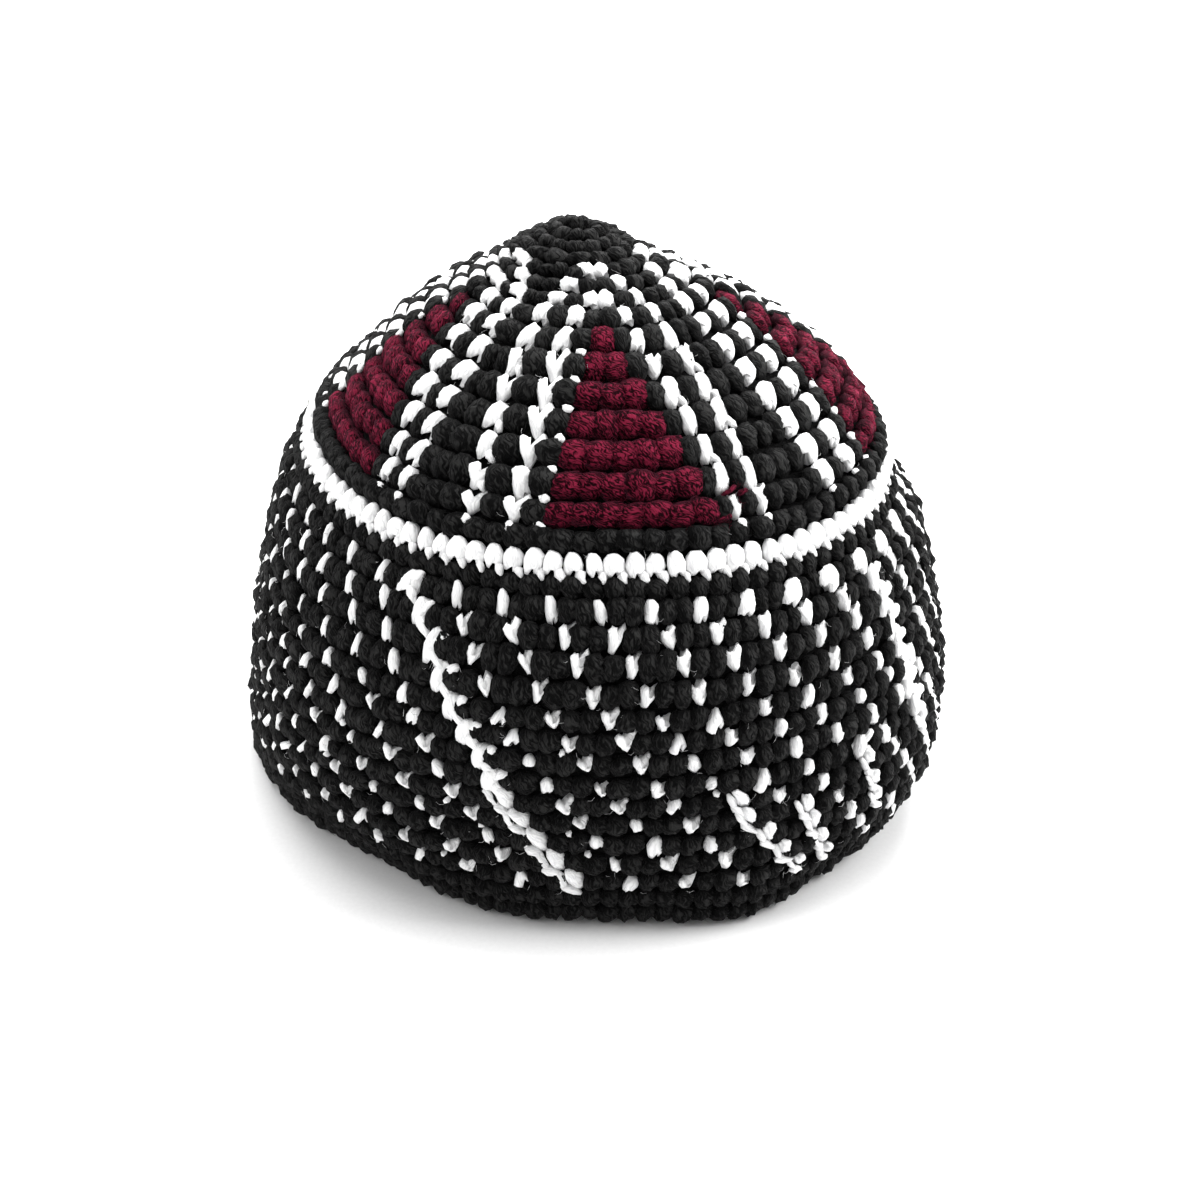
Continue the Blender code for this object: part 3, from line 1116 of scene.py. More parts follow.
@dataclass
class Section:
    """A run of rounds of one part of the cap, with the sizes that its stitches share.

    `unevenness` is the chance difference in size. The other chance differences are in rounds, metres or radians.
    """

    models: dict[Shape, StitchModel]
    yarns: Yarns
    node: str = "crown"
    slot: str = "crown_yarn"
    prefix: str = "crown"
    shown: tuple[Yarn, ...] = (Yarn.BLACK,)
    black_thickness: float = 0.0044
    white_thickness: float = 0.0040
    strand_thickness: float = 0.0024
    black_depth: float = 0.0016
    white_depth: float = 0.0017
    overlap: float = 1.3
    reach: float = 1.08
    white_reach: float = 1.16
    tilt: float = 0.16
    yaw: float = 0.4
    white_yaw: float = 0.15
    unevenness: float = 0.06
    strand_unevenness: float = 0.08
    place_sway: float = 0.035
    depth_sway: float = 0.00025
    white_depth_sway: float = 0.00012
    slant_sway: float = 0.17
    white_slant_sway: float = 0.1
    tilt_sway: float = 0.06
    yaw_sway: float = 0.08
    widest_wobble: float = 2.2

    def stitches(self) -> list[Stitch]:
        """Every stitch of the section, which each kind of section lays in its own way."""
        return []

    def build(self) -> list[Stitch]:
        """Builds a piece for each yarn that shows, and hides the plain section.

        Returns:
            The section's stitches.
        """
        layer = StitchLayer(self.models, stitches=self.stitches())
        pieces = [
            layer.piece(f"{self.prefix}_{yarn.value}_stitches", yarn, self.yarns.of(yarn), self.slot)
            for yarn in self.shown
        ]
        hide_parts(self.node)
        return layer.stitches

    def round_height(self, count: int, angle: float) -> float:
        """The height of a round in one direction, measured along the fabric."""
        at = np.array([at_of_round(count - 1), at_of_round(count)])
        upper, lower = FORM.point(at, np.array([angle, angle]))
        return float(np.linalg.norm(upper - lower))

    def stitch_width(self, count: int, angle: float, turn: float) -> float:
        """How wide a stitch is that takes up `turn` radians of its round."""
        at = np.full(2, at_of_round(count - 0.5))
        left, right = FORM.point(at, np.array([angle - turn / 2, angle + turn / 2]))
        return float(np.linalg.norm(right - left))

    def wobble(self, size: float) -> float:
        """A small chance difference, as no two stitches are alike."""
        return float(np.clip(SEED.normal(0, size), -self.widest_wobble * size, self.widest_wobble * size))

    def bean(self, count: float, angle: float, width: float, height: float, yarn: Yarn = Yarn.BLACK) -> Stitch:
        """A plump stitch that leans over the round above it.

        Args:
            count: the place along the fabric, in rounds from the tip.
            angle: its direction.
            width: the room it has in its round.
            height: the height of its round.
            yarn: its yarn.

        Returns:
            The stitch.
        """
        return Stitch(
            at=at_of_round(count + self.wobble(self.place_sway)),
            angle=angle,
            width=width * self.overlap * (1 + self.wobble(self.unevenness)),
            height=height * self.reach * (1 + self.wobble(self.unevenness)),
            thickness=self.black_thickness,
            depth=self.black_depth + self.wobble(self.depth_sway),
            yarn=yarn,
            shape=Shape.BEAN,
            slant=self.wobble(self.slant_sway),
            tilt=self.tilt + self.wobble(self.tilt_sway),
            yaw=self.yaw + self.wobble(self.yaw_sway),
        )

    def pad(self, room: Room, look: Look, lean: float = 0.0, shape: Shape = Shape.PAD) -> Stitch:
        """A plump white stitch, partly under the stitch to its right.

        Args:
            room: the room it has.
            look: how it lies there.
            lean: how much further it is turned than its look says.
            shape: its shape.

        Returns:
            The stitch.
        """
        return Stitch(
            at=at_of_round(room.count + look.down),
            angle=room.angle + look.across * room.turn,
            width=room.width * look.wide * (1 + self.wobble(self.unevenness)),
            height=room.height * look.high * self.white_reach * (1 + self.wobble(self.unevenness)),
            thickness=self.white_thickness,
            depth=self.white_depth + self.wobble(self.white_depth_sway),
            yarn=Yarn.WHITE,
            shape=shape,
            slant=look.slant + lean + self.wobble(self.white_slant_sway),
            tilt=self.tilt,
            yaw=self.yaw + self.white_yaw,
        )

    def strand(self, room: Room, look: Look, lean: float = 0.0) -> Stitch:
        """A single white leg of yarn.

        Args:
            room: the room of the stitch that it belongs to.
            look: how it lies there.
            lean: how much further it is turned than its look says.

        Returns:
            The stitch.
        """
        return Stitch(
            at=at_of_round(room.count + look.down),
            angle=room.angle + look.across * room.turn,
            width=room.width * look.wide * (1 + self.wobble(self.strand_unevenness)),
            height=room.height * look.high * (1 + self.wobble(self.strand_unevenness)),
            thickness=self.strand_thickness,
            depth=look.depth,
            yarn=Yarn.WHITE,
            shape=Shape.STRAND,
            slant=look.slant + lean + self.wobble(self.white_slant_sway),
            tilt=self.tilt * 0.5,
        )


# White stitches of the crown's columns: at its left and right side, near the tip, and in an arch's two limbs
CROWN_LEFT = Look(down=-0.14, across=-0.1, wide=1.5, high=0.84, slant=0.1)
CROWN_RIGHT = Look(down=-0.06, across=-0.04, wide=1.3, high=0.86, slant=0.95)
CROWN_SIDE_LEG = Look(down=0.2, across=-0.3, wide=0.45, high=0.5, slant=-0.4)
CROWN_HIGH = Look(down=-0.16, wide=1.5, high=0.86)
CROWN_LEFT_LIMB = Look(wide=1.04, high=1.05, slant=-0.12)
CROWN_LEFT_LEG = Look(down=-0.22, across=-0.3, wide=0.5, high=0.56, slant=-0.5)
CROWN_RIGHT_LIMB = Look(across=-0.05, wide=1.12, high=0.93, slant=0.06)
CROWN_RIGHT_LEG = Look(down=0.36, across=0.28, wide=0.42, high=0.45, slant=-0.5)

# Burgundy plies past a triangle's corner: stitches to its right, rounds from its own, and length
CARRIED_PLIES = [(2, -1.02, 0.0062), (3, -0.9, 0.0036), (1, -0.08, 0.0058)]


@dataclass
class Crown(Section):
    """The domed top: black ground with five burgundy triangles, each inside a double white arch."""

    shown: tuple[Yarn, ...] = (Yarn.BLACK, Yarn.WHITE, Yarn.BURGUNDY)
    motifs: int = 5
    turns: tuple[float, ...] = (0.0, 4.5, 1.0, -1.0, -3.0)
    right_motif: int = 1
    left_motif: int = 4
    reach: float = 1.0
    black_thickness: float = 0.0047
    burgundy_share: float = 1.15
    burgundy_broad: float = 1.6
    burgundy_yaw: float = 0.12
    tip_rounds: int = 5
    tip_jumble: float = 0.17
    tip_swirl: float = 0.55
    limbs_from: int = 9
    high_until: float = 7.6
    side_sway: float = 0.12
    side_leg_chance: float = 0.4
    right_yaw: float = 0.22
    right_rise: float = 0.0007
    left_share: float = 1.1
    right_share_high: float = 1.06
    right_share_low: float = 0.73
    tilt: float = 0.22
    yaw: float = 0.36
    overlap: float = 1.38
    white_reach: float = 1.08
    white_depth: float = 0.0016
    black_depth: float = 0.0014

    def letters(self, row: FigureRow, motif: int) -> list[tuple[str, float, float]]:
        """The stitches of one motif round.

        Args:
            row: the round's row in the chart.
            motif: the motif's number.

        Returns:
            For each stitch its letter, its direction from the motif's axis, and the turn that it takes up.
        """
        half = math.pi / self.motifs
        gap = math.radians(row.gap_degrees)
        falling = float(np.clip((row.count - 10) / 5, 0, 1))
        right_share = self.right_share_high + (self.right_share_low - self.right_share_high) * falling
        shares = []
        for place, letter in enumerate(row.figure):
            on_right = place >= len(row.figure) - 4 and "R" in row.figure
            share = self.burgundy_share if letter == "R" else (right_share if on_right else self.left_share)
            shares.append(share)
        stitches = []
        start = -(2 * half - gap) / 2
        scale = (2 * half - gap) / sum(shares) if shares else 0.0
        for letter, share in zip(row.figure, shares):
            turn = share * scale
            stitches.append((letter, start + turn / 2, turn))
            start += turn
        gap += math.radians(self.turns[(motif + 1) % self.motifs] - self.turns[motif])
        fits = max(1, round(gap * len(row.figure) / (2 * half - gap))) if row.figure else row.gap
        for number in range(fits):
            turn = gap / fits
            stitches.append(("B", start + turn * (number + 0.5), turn))
        return stitches

    def stitches(self) -> list[Stitch]:
        """Every stitch of the crown, from the tip down."""
        made = []
        for row in FIGURE_ROWS:
            for motif in range(self.motifs):
                axis = math.radians(row.axis_degrees + self.turns[motif]) + math.tau * motif / self.motifs
                made += self.motif_round(row, axis, motif)
        return made

    def motif_round(self, row: FigureRow, axis: float, motif: int) -> list[Stitch]:
        """The stitches of one round of one motif.

        Args:
            row: the round's row in the chart.
            axis: the direction of the motif's axis.
            motif: the motif's number.

        Returns:
            The stitches, with the white dots that show between them.
        """
        made = []
        height = self.round_height(row.count, axis)
        count = row.count - 0.5
        spiral = self.tip_swirl * (row.count - 3) if row.count < self.tip_rounds else 0.0
        before = ""
        for letter, turn_from_axis, turn in self.letters(row, motif):
            angle = axis + turn_from_axis + spiral
            width = self.stitch_width(row.count, angle, turn)
            if letter == "W":
                room = Room(count, angle, turn, width, self.round_height(row.count, angle))
                made += self.white_stitch(room, motif, before)
            else:
                bean = self.bean(count, angle, width, height, YARN_OF_LETTER[letter])
                bean = self.jumbled(bean, count) if row.count <= self.tip_rounds else bean
                burgundy = bean._replace(yaw=self.burgundy_yaw, width=width * self.burgundy_broad)
                made.append(burgundy if letter == "R" else bean)
            if letter == "R" and before == "B" and row.count > self.limbs_from:
                made.append(self.dot(row.count - 1, angle - turn * 0.72))
            before = letter
        if row.count == CROWN_ROUNDS:
            made += self.lowest_dots(axis, motif)
            made += self.carried_plies(axis) if motif == 0 else []
        return made

    def jumbled(self, bean: Stitch, count: float) -> Stitch:
        """A stitch near the tip, where the rounds are too small to lie in order."""
        aside = self.wobble(self.tip_jumble)
        return bean._replace(at=at_of_round(count + aside * 0.5), slant=aside * 2, height=bean.height * (1.15 + aside))

    def white_stitch(self, room: Room, motif: int, before: str) -> list[Stitch]:
        """One stitch of a white column, which is slim and ragged at the front and a broad crescent at the sides.

        Args:
            room: the room it has.
            motif: the motif's number.
            before: the letter of the stitch to its left.

        Returns:
            The stitch, and the loose leg that it may have.
        """
        if motif in (self.right_motif, self.left_motif):
            look = CROWN_LEFT if motif == self.left_motif else CROWN_RIGHT
            pad = self.pad(room, look, self.wobble(self.side_sway))
            raised = pad._replace(depth=pad.depth - self.right_rise, yaw=self.right_yaw)
            made = [pad if motif == self.left_motif else raised]
            if SEED.uniform() < self.side_leg_chance:
                made.append(self.strand(room, CROWN_SIDE_LEG, look.slant))
            return made
        lean = self.wobble(0.1)
        if room.count < self.high_until:
            return [self.pad(room, CROWN_HIGH, lean)]
        low = room.count > self.limbs_from
        from_axis = math.remainder(room.angle - math.tau * motif / self.motifs, math.tau)
        if before == "B" and low and from_axis < 0:
            shape = Shape.FORK if SEED.uniform() < 0.6 else Shape.PAD
            return [self.pad(room, CROWN_LEFT_LIMB, lean, shape), self.strand(room, CROWN_LEFT_LEG)]
        shape = Shape.FORK if SEED.uniform() < 0.4 and low else Shape.PAD
        made = [self.pad(room, CROWN_RIGHT_LIMB, lean, shape)]
        if low and SEED.uniform() < 0.5:
            made.append(self.strand(room, CROWN_RIGHT_LEG, lean))
        return made

    def carried_plies(self, axis: float) -> list[Stitch]:
        """The burgundy strands that show past the lower right corner of a triangle, where the yarn is carried on."""
        last = self.letters(FIGURE_ROWS[CROWN_ROUNDS - 2], 0)
        corner = max(number for number, (letter, _, _) in enumerate(last) if letter == "R")
        made = []
        for beside, beyond, length in CARRIED_PLIES:
            _, place, turn = last[corner + beside]
            room = Room(CROWN_ROUNDS - 1, axis + place, turn, 0.0016, length)
            strand = self.strand(room, Look(down=beyond, across=-0.3, slant=1.25, depth=0.0006))
            made.append(strand._replace(yarn=Yarn.BURGUNDY))
        return made

    def dot(self, count: float, angle: float) -> Stitch:
        """A small white diamond in the groove between two rounds, where the white yarn is carried past."""
        return Stitch(
            at=at_of_round(count + 0.06),
            angle=angle,
            width=0.0028,
            height=0.0024,
            thickness=0.0018,
            depth=0.0002,
            yarn=Yarn.WHITE,
            shape=Shape.STRAND,
            slant=self.wobble(0.4) + 0.4,
            tilt=0.1,
        )

    def lowest_dots(self, axis: float, motif: int) -> list[Stitch]:
        """The white dots in the last black round, right under the white columns and the burgundy's left corner."""
        last = self.letters(FIGURE_ROWS[CROWN_ROUNDS - 2], motif)
        white = [(place, turn) for letter, place, turn in last if letter == "W"]
        made = [self.dot(CROWN_ROUNDS - 0.85, axis + place - turn * 0.1) for place, turn in white]
        place, turn = next((place, turn) for letter, place, turn in last if letter == "R")
        made.append(self.dot(CROWN_ROUNDS - 0.95, axis + place - turn * 0.8))
        return made


@dataclass
class RidgeRound(Section):
    """The one all-white round that stands proud where the crown turns down."""

    node: str = "ridge_round"
    slot: str = "ridge_yarn"
    prefix: str = "ridge"
    shown: tuple[Yarn, ...] = (Yarn.WHITE,)
    count: int = 100
    white_thickness: float = 0.0044
    white_depth: float = 0.0012
    yaw: float = 0.12
    white_yaw: float = 0.0
    foot: Look = Look(down=0.56, across=0.42, wide=0.5, high=0.66, slant=-0.42, depth=0.0008)

    def build(self) -> list[Stitch]:
        """Builds the white round.

        Returns:
            Its stitches, without the feet that show between two black stitches of the next round.
        """
        return [stitch for stitch in super().build() if stitch.shape is Shape.PAD]

    def stitches(self) -> list[Stitch]:
        """Every stitch of the round, each with its foot."""
        made = []
        turn = math.tau / self.count
        for number in range(self.count):
            angle = turn * number + self.wobble(0.002)
            width = self.stitch_width(RIDGE_COUNT, angle, turn)
            room = Room(RIDGE_COUNT - 0.5, angle, turn, width, self.round_height(RIDGE_COUNT, angle))
            made.append(self.pad(room, Look(wide=1.02 + self.wobble(0.05), high=0.96 + self.wobble(0.05))))
            made.append(self.strand(room, self.foot))
        return made


# A thick line's broad stitch and its two crossing strands, high up on the side and lower down
LINE_HIGH = [
    Look(high=1.08, slant=0.1),
    Look(down=-0.3, across=0.3, wide=0.4, high=0.7, slant=0.8, depth=0.0007),
    Look(down=0.48, across=0.28, wide=0.5, high=0.95, slant=-0.6, depth=0.0007),
]
LINE_LOW = [
    Look(down=-0.1, across=0.12, wide=0.66, high=1.55, slant=-0.6),
    Look(down=-0.05, across=-0.36, wide=0.38, high=1.2, slant=-0.45, depth=0.0007),
    Look(down=0.42, across=-0.04, wide=0.42, high=1.0, slant=-1.1, depth=0.0006),
]


@dataclass
class SideBand(Section):
    """The deep side: black, with a white stitch in every third place, and a few thick white lines."""

    node: str = "side_band"
    slot: str = "band_yarn"
    prefix: str = "band"
    shown: tuple[Yarn, ...] = (Yarn.BLACK, Yarn.WHITE)
    first_count: int = 100
    count: int = 132
    radius: float = 0.09
    white_thickness: float = 0.0037
    white_depth: float = 0.0017
    first_angle: float = math.radians(1.2)
    rounds: int = SIDE_ROUNDS - EDGING_ROUNDS
    line_ends: float = 0.6
    line_low_from: float = 26
    high_rounds: int = 5
    high_shrink: tuple[float, ...] = (0.0, 0.0, 0.0, 0.0, 0.04, 0.12)

    def drift(self, angle: float, band_round: int) -> float:
        """How far the stitches of a round have drifted to the right since the second one."""
        degrees = FORM.around_row(DRIFT_ROW, np.array([angle % math.tau]))[0]
        return math.radians(float(degrees)) * (band_round - 2)

    def lines_at(self, count: float) -> list[tuple[float, float]]:
        """The thick lines that pass a round, each with its direction and its width in stitches."""
        passing = [
            line for line in THICK_LINES if line.counts[0] - self.line_ends <= count <= line.counts[-1] + self.line_ends
        ]
        return [(math.radians(float(np.interp(count, line.counts, line.degrees))), line.width) for line in passing]

    def stitches(self) -> list[Stitch]:
        """Every stitch of the band, from the ridge down."""
        made = self.first_round()
        for band_round in range(2, self.rounds + 1):
            made += self.spotted_round(band_round)
        return made

    def first_round(self) -> list[Stitch]:
        """The round right under the ridge, which is black and has as many stitches as the ridge."""
        turn = math.tau / self.first_count
        made = []
        for number in range(self.first_count):
            angle = turn * (number + 0.02)
            width = self.stitch_width(RIDGE_COUNT + 1, angle, turn)
            height = self.round_height(RIDGE_COUNT + 1, angle)
            made.append(self.bean(RIDGE_COUNT + 0.55, angle, width * 0.92, height))
        return made

    def places_in(self, band_round: int) -> list[Room]:
        """The room of each stitch of a round.

        Args:
            band_round: its number, counted from the ridge.

        Returns:
            The rooms, from the first stitch to the right.
        """
        made = []
        turn = math.tau / self.count
        count = RIDGE_COUNT + band_round
        for number in range(self.count):
            start = self.first_angle + turn * number
            angle = start + self.drift(start, band_round)
            width = self.stitch_width(count, angle, turn)
            made.append(Room(count - 0.5, angle, turn, width, self.round_height(count, angle)))
        return made

    def spotted_round(self, band_round: int) -> list[Stitch]:
        """One round with a white stitch in every third place.

        Args:
            band_round: its number, counted from the ridge.

        Returns:
            The round's stitches.
        """
        made = []
        turn = math.tau / self.count
        count = RIDGE_COUNT + band_round
        lines = self.lines_at(count - 0.5)
        for number, room in enumerate(self.places_in(band_round)):
            white = number % 3 == 0
            nearest = min((abs(math.remainder(room.angle - place, math.tau)) / turn for place, _ in lines), default=9.0)
            if nearest < (1.0 if white else 0.5):
                continue
            if white:
                made += self.white_stitch(band_round, room)
            else:
                made.append(self.bean(room.count, room.angle, room.width, room.height))
        for place, share in lines:
            width = self.stitch_width(count, place, turn) * share
            room = Room(count - 0.5, place, width / self.radius, width, self.round_height(count, place))
            made += self.line_stitch(room)
        return made

    def line_stitch(self, room: Room) -> list[Stitch]:
        """One round of a thick line: a broad stitch and two strands that cross beside it.

        Args:
            room: the room it has.

        Returns:
            Its strands.
        """
        high = room.count < self.line_low_from
        broad, *strands = LINE_HIGH if high else LINE_LOW
        pad = self.pad(room, broad, self.wobble(0.2) if high else 0.0)
        return [pad] + [self.strand(room, look) for look in strands]

    def white_stitch(self, band_round: int, room: Room) -> list[Stitch]:
        """What shows of one white stitch: a fork high up, and a smaller tooth, wedge or dot further down.

        Args:
            band_round: the round's number, counted from the ridge.
            room: the room it has.

        Returns:
            One or two strands.
        """
        turn = room.width / self.radius
        rightward = float(np.clip((math.degrees(math.remainder(room.angle, math.tau)) - 5) / 40, -1, 1))
        right = max(rightward, 0.0)
        room = room._replace(angle=room.angle + self.wobble(0.06 * turn), turn=turn)
        if band_round == 2:
            look = Look(wide=0.76 + 0.95 * right, high=0.95, slant=1.1 * right - 0.3 * min(rightward, 0.0) - 0.3)
            pad = self.pad(room, look)
            return [pad._replace(depth=pad.depth - 0.0009 * right, yaw=pad.yaw - 0.32 * right)]
        if band_round <= self.high_rounds:
            small = self.high_shrink[band_round]
            shape = Shape.FORK if rightward > -0.8 else Shape.PAD
            look = Look(wide=SEED.uniform(0.74, 0.92) - small, high=0.9 - small, down=self.wobble(0.05))
            return [self.pad(room, look, self.wobble(0.16), shape)]
        size = SEED.uniform(0.68, 0.92) * (1 + 0.16 * right)
        kind = SEED.uniform()
        high = size * 0.9
        down = self.wobble(0.07)
        if kind < 0.4:
            made = [self.pad(room, Look(down, wide=size * 1.05, high=high), self.wobble(0.2), Shape.FORK)]
        elif kind < 0.62:
            made = [self.pad(room, Look(down, wide=size, high=high, slant=math.pi), self.wobble(0.3), Shape.FORK)]
        elif kind < 0.85:
            made = [self.pad(room, Look(down, wide=size * 0.92, high=high), self.wobble(0.3))]
        else:
            made = [self.pad(room, Look(down, wide=0.66, high=high * 0.7), self.wobble(0.5))]
        if SEED.uniform() < 0.2:
            aside = SEED.uniform(-0.6, 0.6)
            leg = Look(down=0.45, across=aside, wide=0.4, high=high * 0.42, slant=SEED.uniform(-1, 1))
            made.append(self.strand(room, leg))
        return made


class ThickLine(NamedTuple):
    """A white line down the side: places along the fabric in rounds from the tip, and its direction at each."""

    counts: tuple[float, ...]
    degrees: tuple[float, ...]
    width: float = 1.3


THICK_LINES = [
    ThickLine((18.5, 20.5, 22.5, 24.5, 26.5, 28.5, 31.0), (-32.5, -25.5, -21.0, -16.0, -13.0, -8.5, -2.0), 1.5),
    ThickLine((19.5, 22.3, 24.4, 26.5), (53.0, 55.0, 55.5, 57.0), 1.4),
    ThickLine((27.0, 28.5, 31.0), (21.0, 25.0, 31.0), 1.1),
    ThickLine((27.2, 28.8, 30.8), (30.5, 32.5, 35.0), 1.0),
    ThickLine((25.2, 26.5, 28.2), (41.5, 42.5, 43.5), 1.1),
    ThickLine((18.5, 23.0, 27.5, 30.5), (104.0, 110.0, 119.0, 126.0)),
    ThickLine((20.5, 25.0, 29.5), (150.0, 160.0, 172.0), 1.4),
    ThickLine((18.5, 22.5, 26.5, 30.5), (208.0, 217.0, 229.0, 240.0), 1.4),
    ThickLine((23.5, 27.0, 30.5), (262.0, 270.0, 279.0), 1.2),
]


@dataclass
class RimEdging(SideBand):
    """The last two rounds, plain black, which the cap stands on."""

    node: str = "rim_edging"
    slot: str = "edging_yarn"
    prefix: str = "edging"
    shown: tuple[Yarn, ...] = (Yarn.BLACK,)
    tilt: float = 0.08
    reach: float = 1.14
    last_lift: float = 0.12

    def stitches(self) -> list[Stitch]:
        """Every stitch of the edging."""
        made = []
        for band_round in range(self.rounds + 1, SIDE_ROUNDS + 1):
            lift = self.last_lift if band_round == SIDE_ROUNDS else 0.0
            for room in self.places_in(band_round):
                made.append(self.bean(room.count - lift, room.angle, room.width, room.height))
        return made


@dataclass
class GroundFabric:
    """The body of the fabric under the stitches, closed at the tip and round the rim."""

    material: bpy.types.Material
    around: int = 132
    rows: int = 66
    lowest: float = 1.985
    weld: float = 0.00002
    depth: float = 0.0021
    thickness: float = 0.0014
    yarn_run: tuple[float, float] = (0.17, 80)
    # Both its random tone and how far out it counts as standing; the low value darkens it with painted shade.
    shade: float = 0.1
    slot: str = "band_yarn"

    def build(self) -> bpy.types.Object:
        """Builds the fabric: a flat grid is laid over the form, closed to a cap, and given its thickness.

        Returns:
            The finished piece.
        """
        deselect()
        bpy.ops.mesh.primitive_grid_add(x_subdivisions=self.around, y_subdivisions=self.rows, size=1)
        piece = bpy.context.object
        piece.name = "fabric_ground"
        points = np.array([vertex.co for vertex in piece.data.vertices])
        angle = (points[:, 0] + 0.5) * math.tau
        at = np.clip((0.5 - points[:, 1]) * self.lowest, 0.0, self.lowest)
        laid = FORM.point(at, angle, self.depth)
        tip = at <= 0
        laid[tip] = laid[tip].mean(axis=0)
        piece.data.vertices.foreach_set("co", laid.astype(np.float32).ravel())
        bpy.ops.object.mode_set(mode="EDIT")
        bpy.ops.mesh.select_all(action="SELECT")
        bpy.ops.mesh.remove_doubles(threshold=self.weld)
        bpy.ops.mesh.normals_make_consistent(inside=False)
        bpy.ops.object.mode_set(mode="OBJECT")
        wall = piece.modifiers.new("wall", "SOLIDIFY")
        wall.thickness = self.thickness
        wall.offset = -1
        bpy.ops.object.modifier_apply(modifier=wall.name)
        self.lay_run(piece.data)
        piece.data.shade_smooth()
        piece.data.materials.clear()
        piece.data.materials.append(self.material)
        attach(piece, BODY)
        LOG.info("%s: %d faces", piece.name, len(piece.data.polygons))
        return piece

    def lay_run(self, mesh: bpy.types.Mesh) -> None:
        """Lays the run of the yarn round the fabric, so that its plies follow the rounds."""
        while mesh.uv_layers:
            mesh.uv_layers.remove(mesh.uv_layers[0])
        points = np.array([vertex.co for vertex in mesh.vertices])
        down, around = self.yarn_run
        run = np.stack([points[:, 2] / MILLIMETRE * down, np.arctan2(points[:, 0], -points[:, 1]) * around], -1)
        lay_yarn_run(mesh, run)
        # One low value for both, so the ground under the stitches is darkened with painted shade.
        for label in ("shade", "raised"):
            lay_values(mesh, label, np.full(len(mesh.vertices), self.shade))


@dataclass
class InnerSide:
    """The wrong side of the fabric, seen from below: one short bar of yarn behind each stitch."""

    models: dict[Shape, StitchModel]
    yarns: Yarns
    outer: list[Stitch]
    least_width: float = 0.0028
    bar_width: float = 0.0043
    bar_share: float = 1.15
    longest_bar: float = 0.0066
    slant: float = math.pi / 2 - 0.3
    depth: float = 0.0036
    thickness: float = 0.0022
    slot: str = "band_yarn"

    def build(self) -> None:
        """Builds the wrong side's pieces."""
        layer = StitchLayer(self.models, inside=True)
        for stitch in self.outer:
            if stitch.at < at_of_round(2) or stitch.width < self.least_width:
                continue
            layer.stitches.append(
                stitch._replace(
                    width=self.bar_width,
                    height=min(stitch.width * self.bar_share, self.longest_bar),
                    thickness=self.thickness,
                    depth=self.depth,
                    shape=Shape.STRAND,
                    slant=self.slant,
                    tilt=0.0,
                )
            )
        for yarn in Yarn:
            layer.piece(f"inner_{yarn.value}_bars", yarn, self.yarns.of(yarn), self.slot)


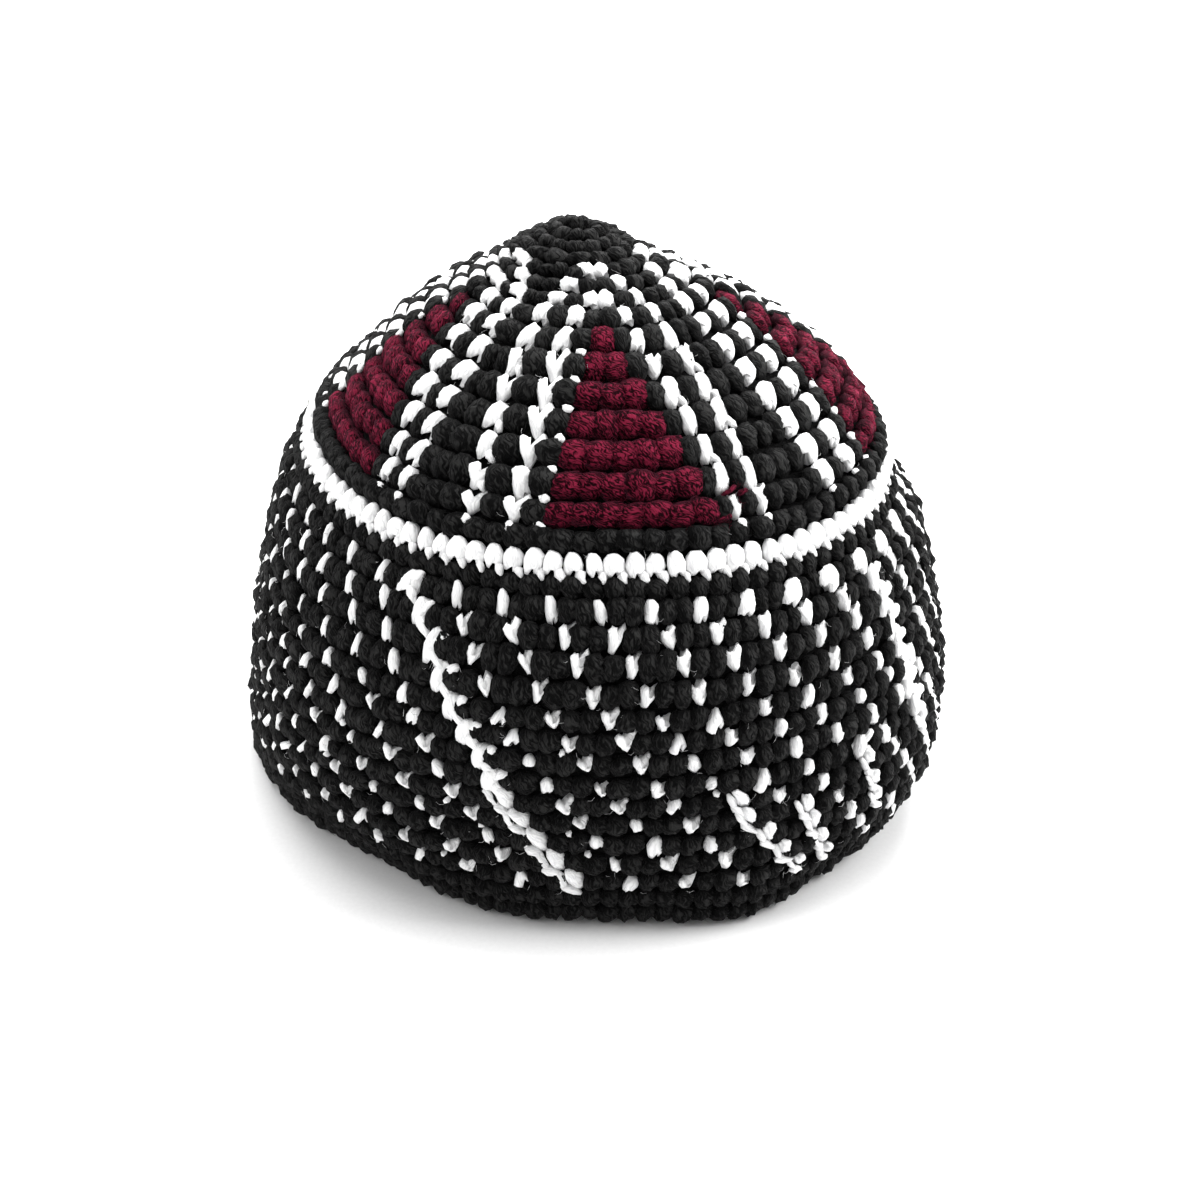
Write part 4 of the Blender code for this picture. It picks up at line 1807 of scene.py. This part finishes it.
@dataclass
class StrayFibres:
    """Fine fibres that stand off the yarn."""

    yarns: Yarns
    outer: list[Stitch]
    black: int = 4200
    white: int = 1300
    burgundy: int = 2600
    longest: float = 0.0024
    shortest: float = 0.0007
    radius: float = 0.00004
    joints: int = 3
    at_scatter: float = 0.026
    angle_scatter: float = 0.03
    highest: float = 0.02
    lowest: float = 1.97
    rise: tuple[float, float] = (0.15, 0.7)
    rise_power: float = 1.4
    curl: float = 0.25
    thinning: float = 0.6
    slot: str = "band_yarn"

    def build(self) -> None:
        """Builds one piece of fibres for each yarn."""
        for yarn, count in ((Yarn.BLACK, self.black), (Yarn.WHITE, self.white), (Yarn.BURGUNDY, self.burgundy)):
            rooted = [stitch for stitch in self.outer if stitch.yarn is yarn]
            chosen = [rooted[number] for number in SEED.integers(0, len(rooted), count)]
            join_piece(f"stray_{yarn.value}_fibres", [self.fibres(chosen)], self.yarns.of(yarn))

    def fibres(self, chosen: list[Stitch]) -> PieceData:
        """Lays one bent fibre on each chosen stitch.

        Args:
            chosen: the stitches that carry a fibre.

        Returns:
            The fibres as points and faces.
        """
        at = np.array([stitch.at for stitch in chosen]) + self.scatter(self.at_scatter, len(chosen))
        angle = np.array([stitch.angle for stitch in chosen]) + self.scatter(self.angle_scatter, len(chosen))
        places = FORM.places(np.clip(at, self.highest, self.lowest), angle)
        length = SEED.uniform(self.shortest, self.longest, len(chosen))[:, None]
        heading = SEED.uniform(0, math.tau, len(chosen))[:, None]
        flat = places.right * np.cos(heading) + places.up * np.sin(heading)
        rise = SEED.uniform(*self.rise, len(chosen))[:, None] ** self.rise_power
        side = np.cross(flat, places.out)
        points = []
        for joint in range(self.joints):
            share = joint / (self.joints - 1)
            spine = places.origin + flat * length * share + places.out * length * rise * share * (1.25 - share)
            spine = spine + side * length * self.curl * np.sin(share * 3 + heading)
            thin = self.radius * (1 - self.thinning * share)
            for corner in range(3):
                turn = math.tau * corner / 3
                points.append(spine + side * thin * math.cos(turn) + places.out * thin * math.sin(turn))
        stacked = np.stack(points, axis=1)
        return PieceData(
            stacked.reshape(-1, 3),
            self.faces(len(chosen)),
            np.tile(np.arange(stacked.shape[1]) * 0.3, len(chosen)),
            np.tile(np.arange(stacked.shape[1]) % 3 / 3, len(chosen)),
            np.repeat(SEED.uniform(0.4, 1, len(chosen)), stacked.shape[1]),
            np.ones(stacked.shape[0] * stacked.shape[1]),
        )

    @staticmethod
    def scatter(reach: float, count: int) -> np.ndarray:
        """Chance distances up to `reach` to either side."""
        return SEED.uniform(-reach, reach, count)

    def faces(self, count: int) -> list[tuple[int, ...]]:
        """Closed three-sided tubes, one for each fibre."""
        one = [(0, 1, 2), tuple(3 * (self.joints - 1) + corner for corner in (2, 1, 0))]
        for joint in range(self.joints - 1):
            for corner in range(3):
                after = (corner + 1) % 3
                low, high = 3 * joint, 3 * joint + 3
                one.append((low + corner, high + corner, high + after, low + after))
        size = 3 * self.joints
        return [tuple(corner + size * number for corner in face) for number in range(count) for face in one]


class SoftLight(NamedTuple):
    """A square soft light: its name, where it hangs, the length of its side, and its power in watts."""

    name: str
    place: tuple[float, float, float]
    size: float
    power: float


LIGHTS = [
    SoftLight("light_overhead", (-0.05, 0.55, 1.25), 1.5, 44.0),
    SoftLight("light_left", (-1.2, -0.3, 0.85), 1.0, 9.0),
    SoftLight("light_right", (1.1, 0.15, 0.75), 0.9, 26.0),
    SoftLight("light_behind", (0.2, 1.25, 0.85), 0.9, 24.0),
]


@dataclass
class Studio:
    """The floor, the soft lights and the camera."""

    floor_size: float = 6.0
    paper_grain: float = 900.0
    paper_dark: Colour = (0.75, 0.75, 0.75)
    paper_pale: Colour = (0.78, 0.78, 0.78)
    surround: float = 0.46
    aim: tuple[float, float, float] = (0, 0, 0.07)
    camera_place: tuple[float, float, float] = (0.003, -0.4198, 0.2827)
    camera_fall: float = math.radians(29)
    focal_pixels: float = 1773.6
    axis_row: float = 556.0
    frame_pixels: float = 1200.0
    sensor: float = 36.0

    def build(self) -> None:
        """Builds the floor, the lights and the camera."""
        self.floor()
        self.world()
        for light in LIGHTS:
            self.soft_light(light)
        self.camera()

    def floor(self) -> None:
        """A plain pale floor with the faint unevenness of paper."""
        deselect()
        bpy.ops.mesh.primitive_plane_add(size=self.floor_size, location=(0, 0, 0))
        floor = bpy.context.object
        floor.name = "studio_floor"
        material = bpy.data.materials.new("pale_paper")
        material.use_nodes = True
        tree = material.node_tree
        bench = NodeBench(tree)
        shader = tree.nodes["Principled BSDF"]
        place = tree.nodes.new("ShaderNodeTexCoord")
        grain = bench.noise(place.outputs["Object"], self.paper_grain, 3.0)
        colour = bench.ramp(grain, [(0.3, self.paper_dark), (0.7, self.paper_pale)])
        tree.links.new(colour, shader.inputs["Base Color"])
        shader.inputs["Roughness"].default_value = 0.9
        shader.inputs["Specular IOR Level"].default_value = 0.1
        floor.data.materials.append(material)

    def world(self) -> None:
        """An even white surround."""
        world = bpy.data.worlds.new("white_surround")
        world.use_nodes = True
        background = world.node_tree.nodes["Background"]
        background.inputs["Color"].default_value = (1.0, 1.0, 1.0, 1.0)
        background.inputs["Strength"].default_value = self.surround
        bpy.context.scene.world = world
        bpy.context.scene.view_settings.view_transform = "Standard"

    def soft_light(self, look: SoftLight) -> None:
        """A square soft light that is aimed at the cap.

        Args:
            look: its name, place, size and power.
        """
        light = bpy.data.lights.new(look.name, "AREA")
        light.size = look.size
        light.energy = look.power
        holder = bpy.data.objects.new(look.name, light)
        holder.location = look.place
        aim = Vector(self.aim) - Vector(look.place)
        holder.rotation_euler = aim.to_track_quat("-Z", "Y").to_euler()
        bpy.context.scene.collection.objects.link(holder)

    def camera(self) -> None:
        """The camera at the photograph's viewing angle."""
        lens = bpy.data.cameras.new("photo_camera")
        lens.sensor_width = self.sensor
        lens.lens = self.sensor * self.focal_pixels / self.frame_pixels
        lens.shift_y = (self.axis_row - self.frame_pixels / 2) / self.frame_pixels
        lens.clip_start = 0.01
        lens.dof.use_dof = False
        camera = bpy.data.objects.new("photo_camera", lens)
        camera.location = self.camera_place
        camera.rotation_euler = (math.pi / 2 - self.camera_fall, 0, 0)
        bpy.context.scene.collection.objects.link(camera)
        bpy.context.scene.camera = camera


def main() -> None:
    """Builds the cap section by section, then the wrong side, the fibres and the studio."""
    logging.basicConfig(level=logging.INFO, format="%(message)s")
    twist = YarnTwist().group()
    yarns = Yarns(BLACK_FINISH.material(twist), WHITE_FINISH.material(twist), BURGUNDY_FINISH.material(twist))
    modeller = StitchModeller()
    models = {shape: modeller.model(shape) for shape in Shape}
    outer = Crown(models, yarns).build()
    outer += RidgeRound(models, yarns).build()
    outer += SideBand(models, yarns).build()
    outer += RimEdging(models, yarns).build()
    GroundFabric(yarns.black).build()
    InnerSide(models, yarns, outer).build()
    StrayFibres(yarns, outer).build()
    Studio().build()


if __name__ == "__main__":
    main()
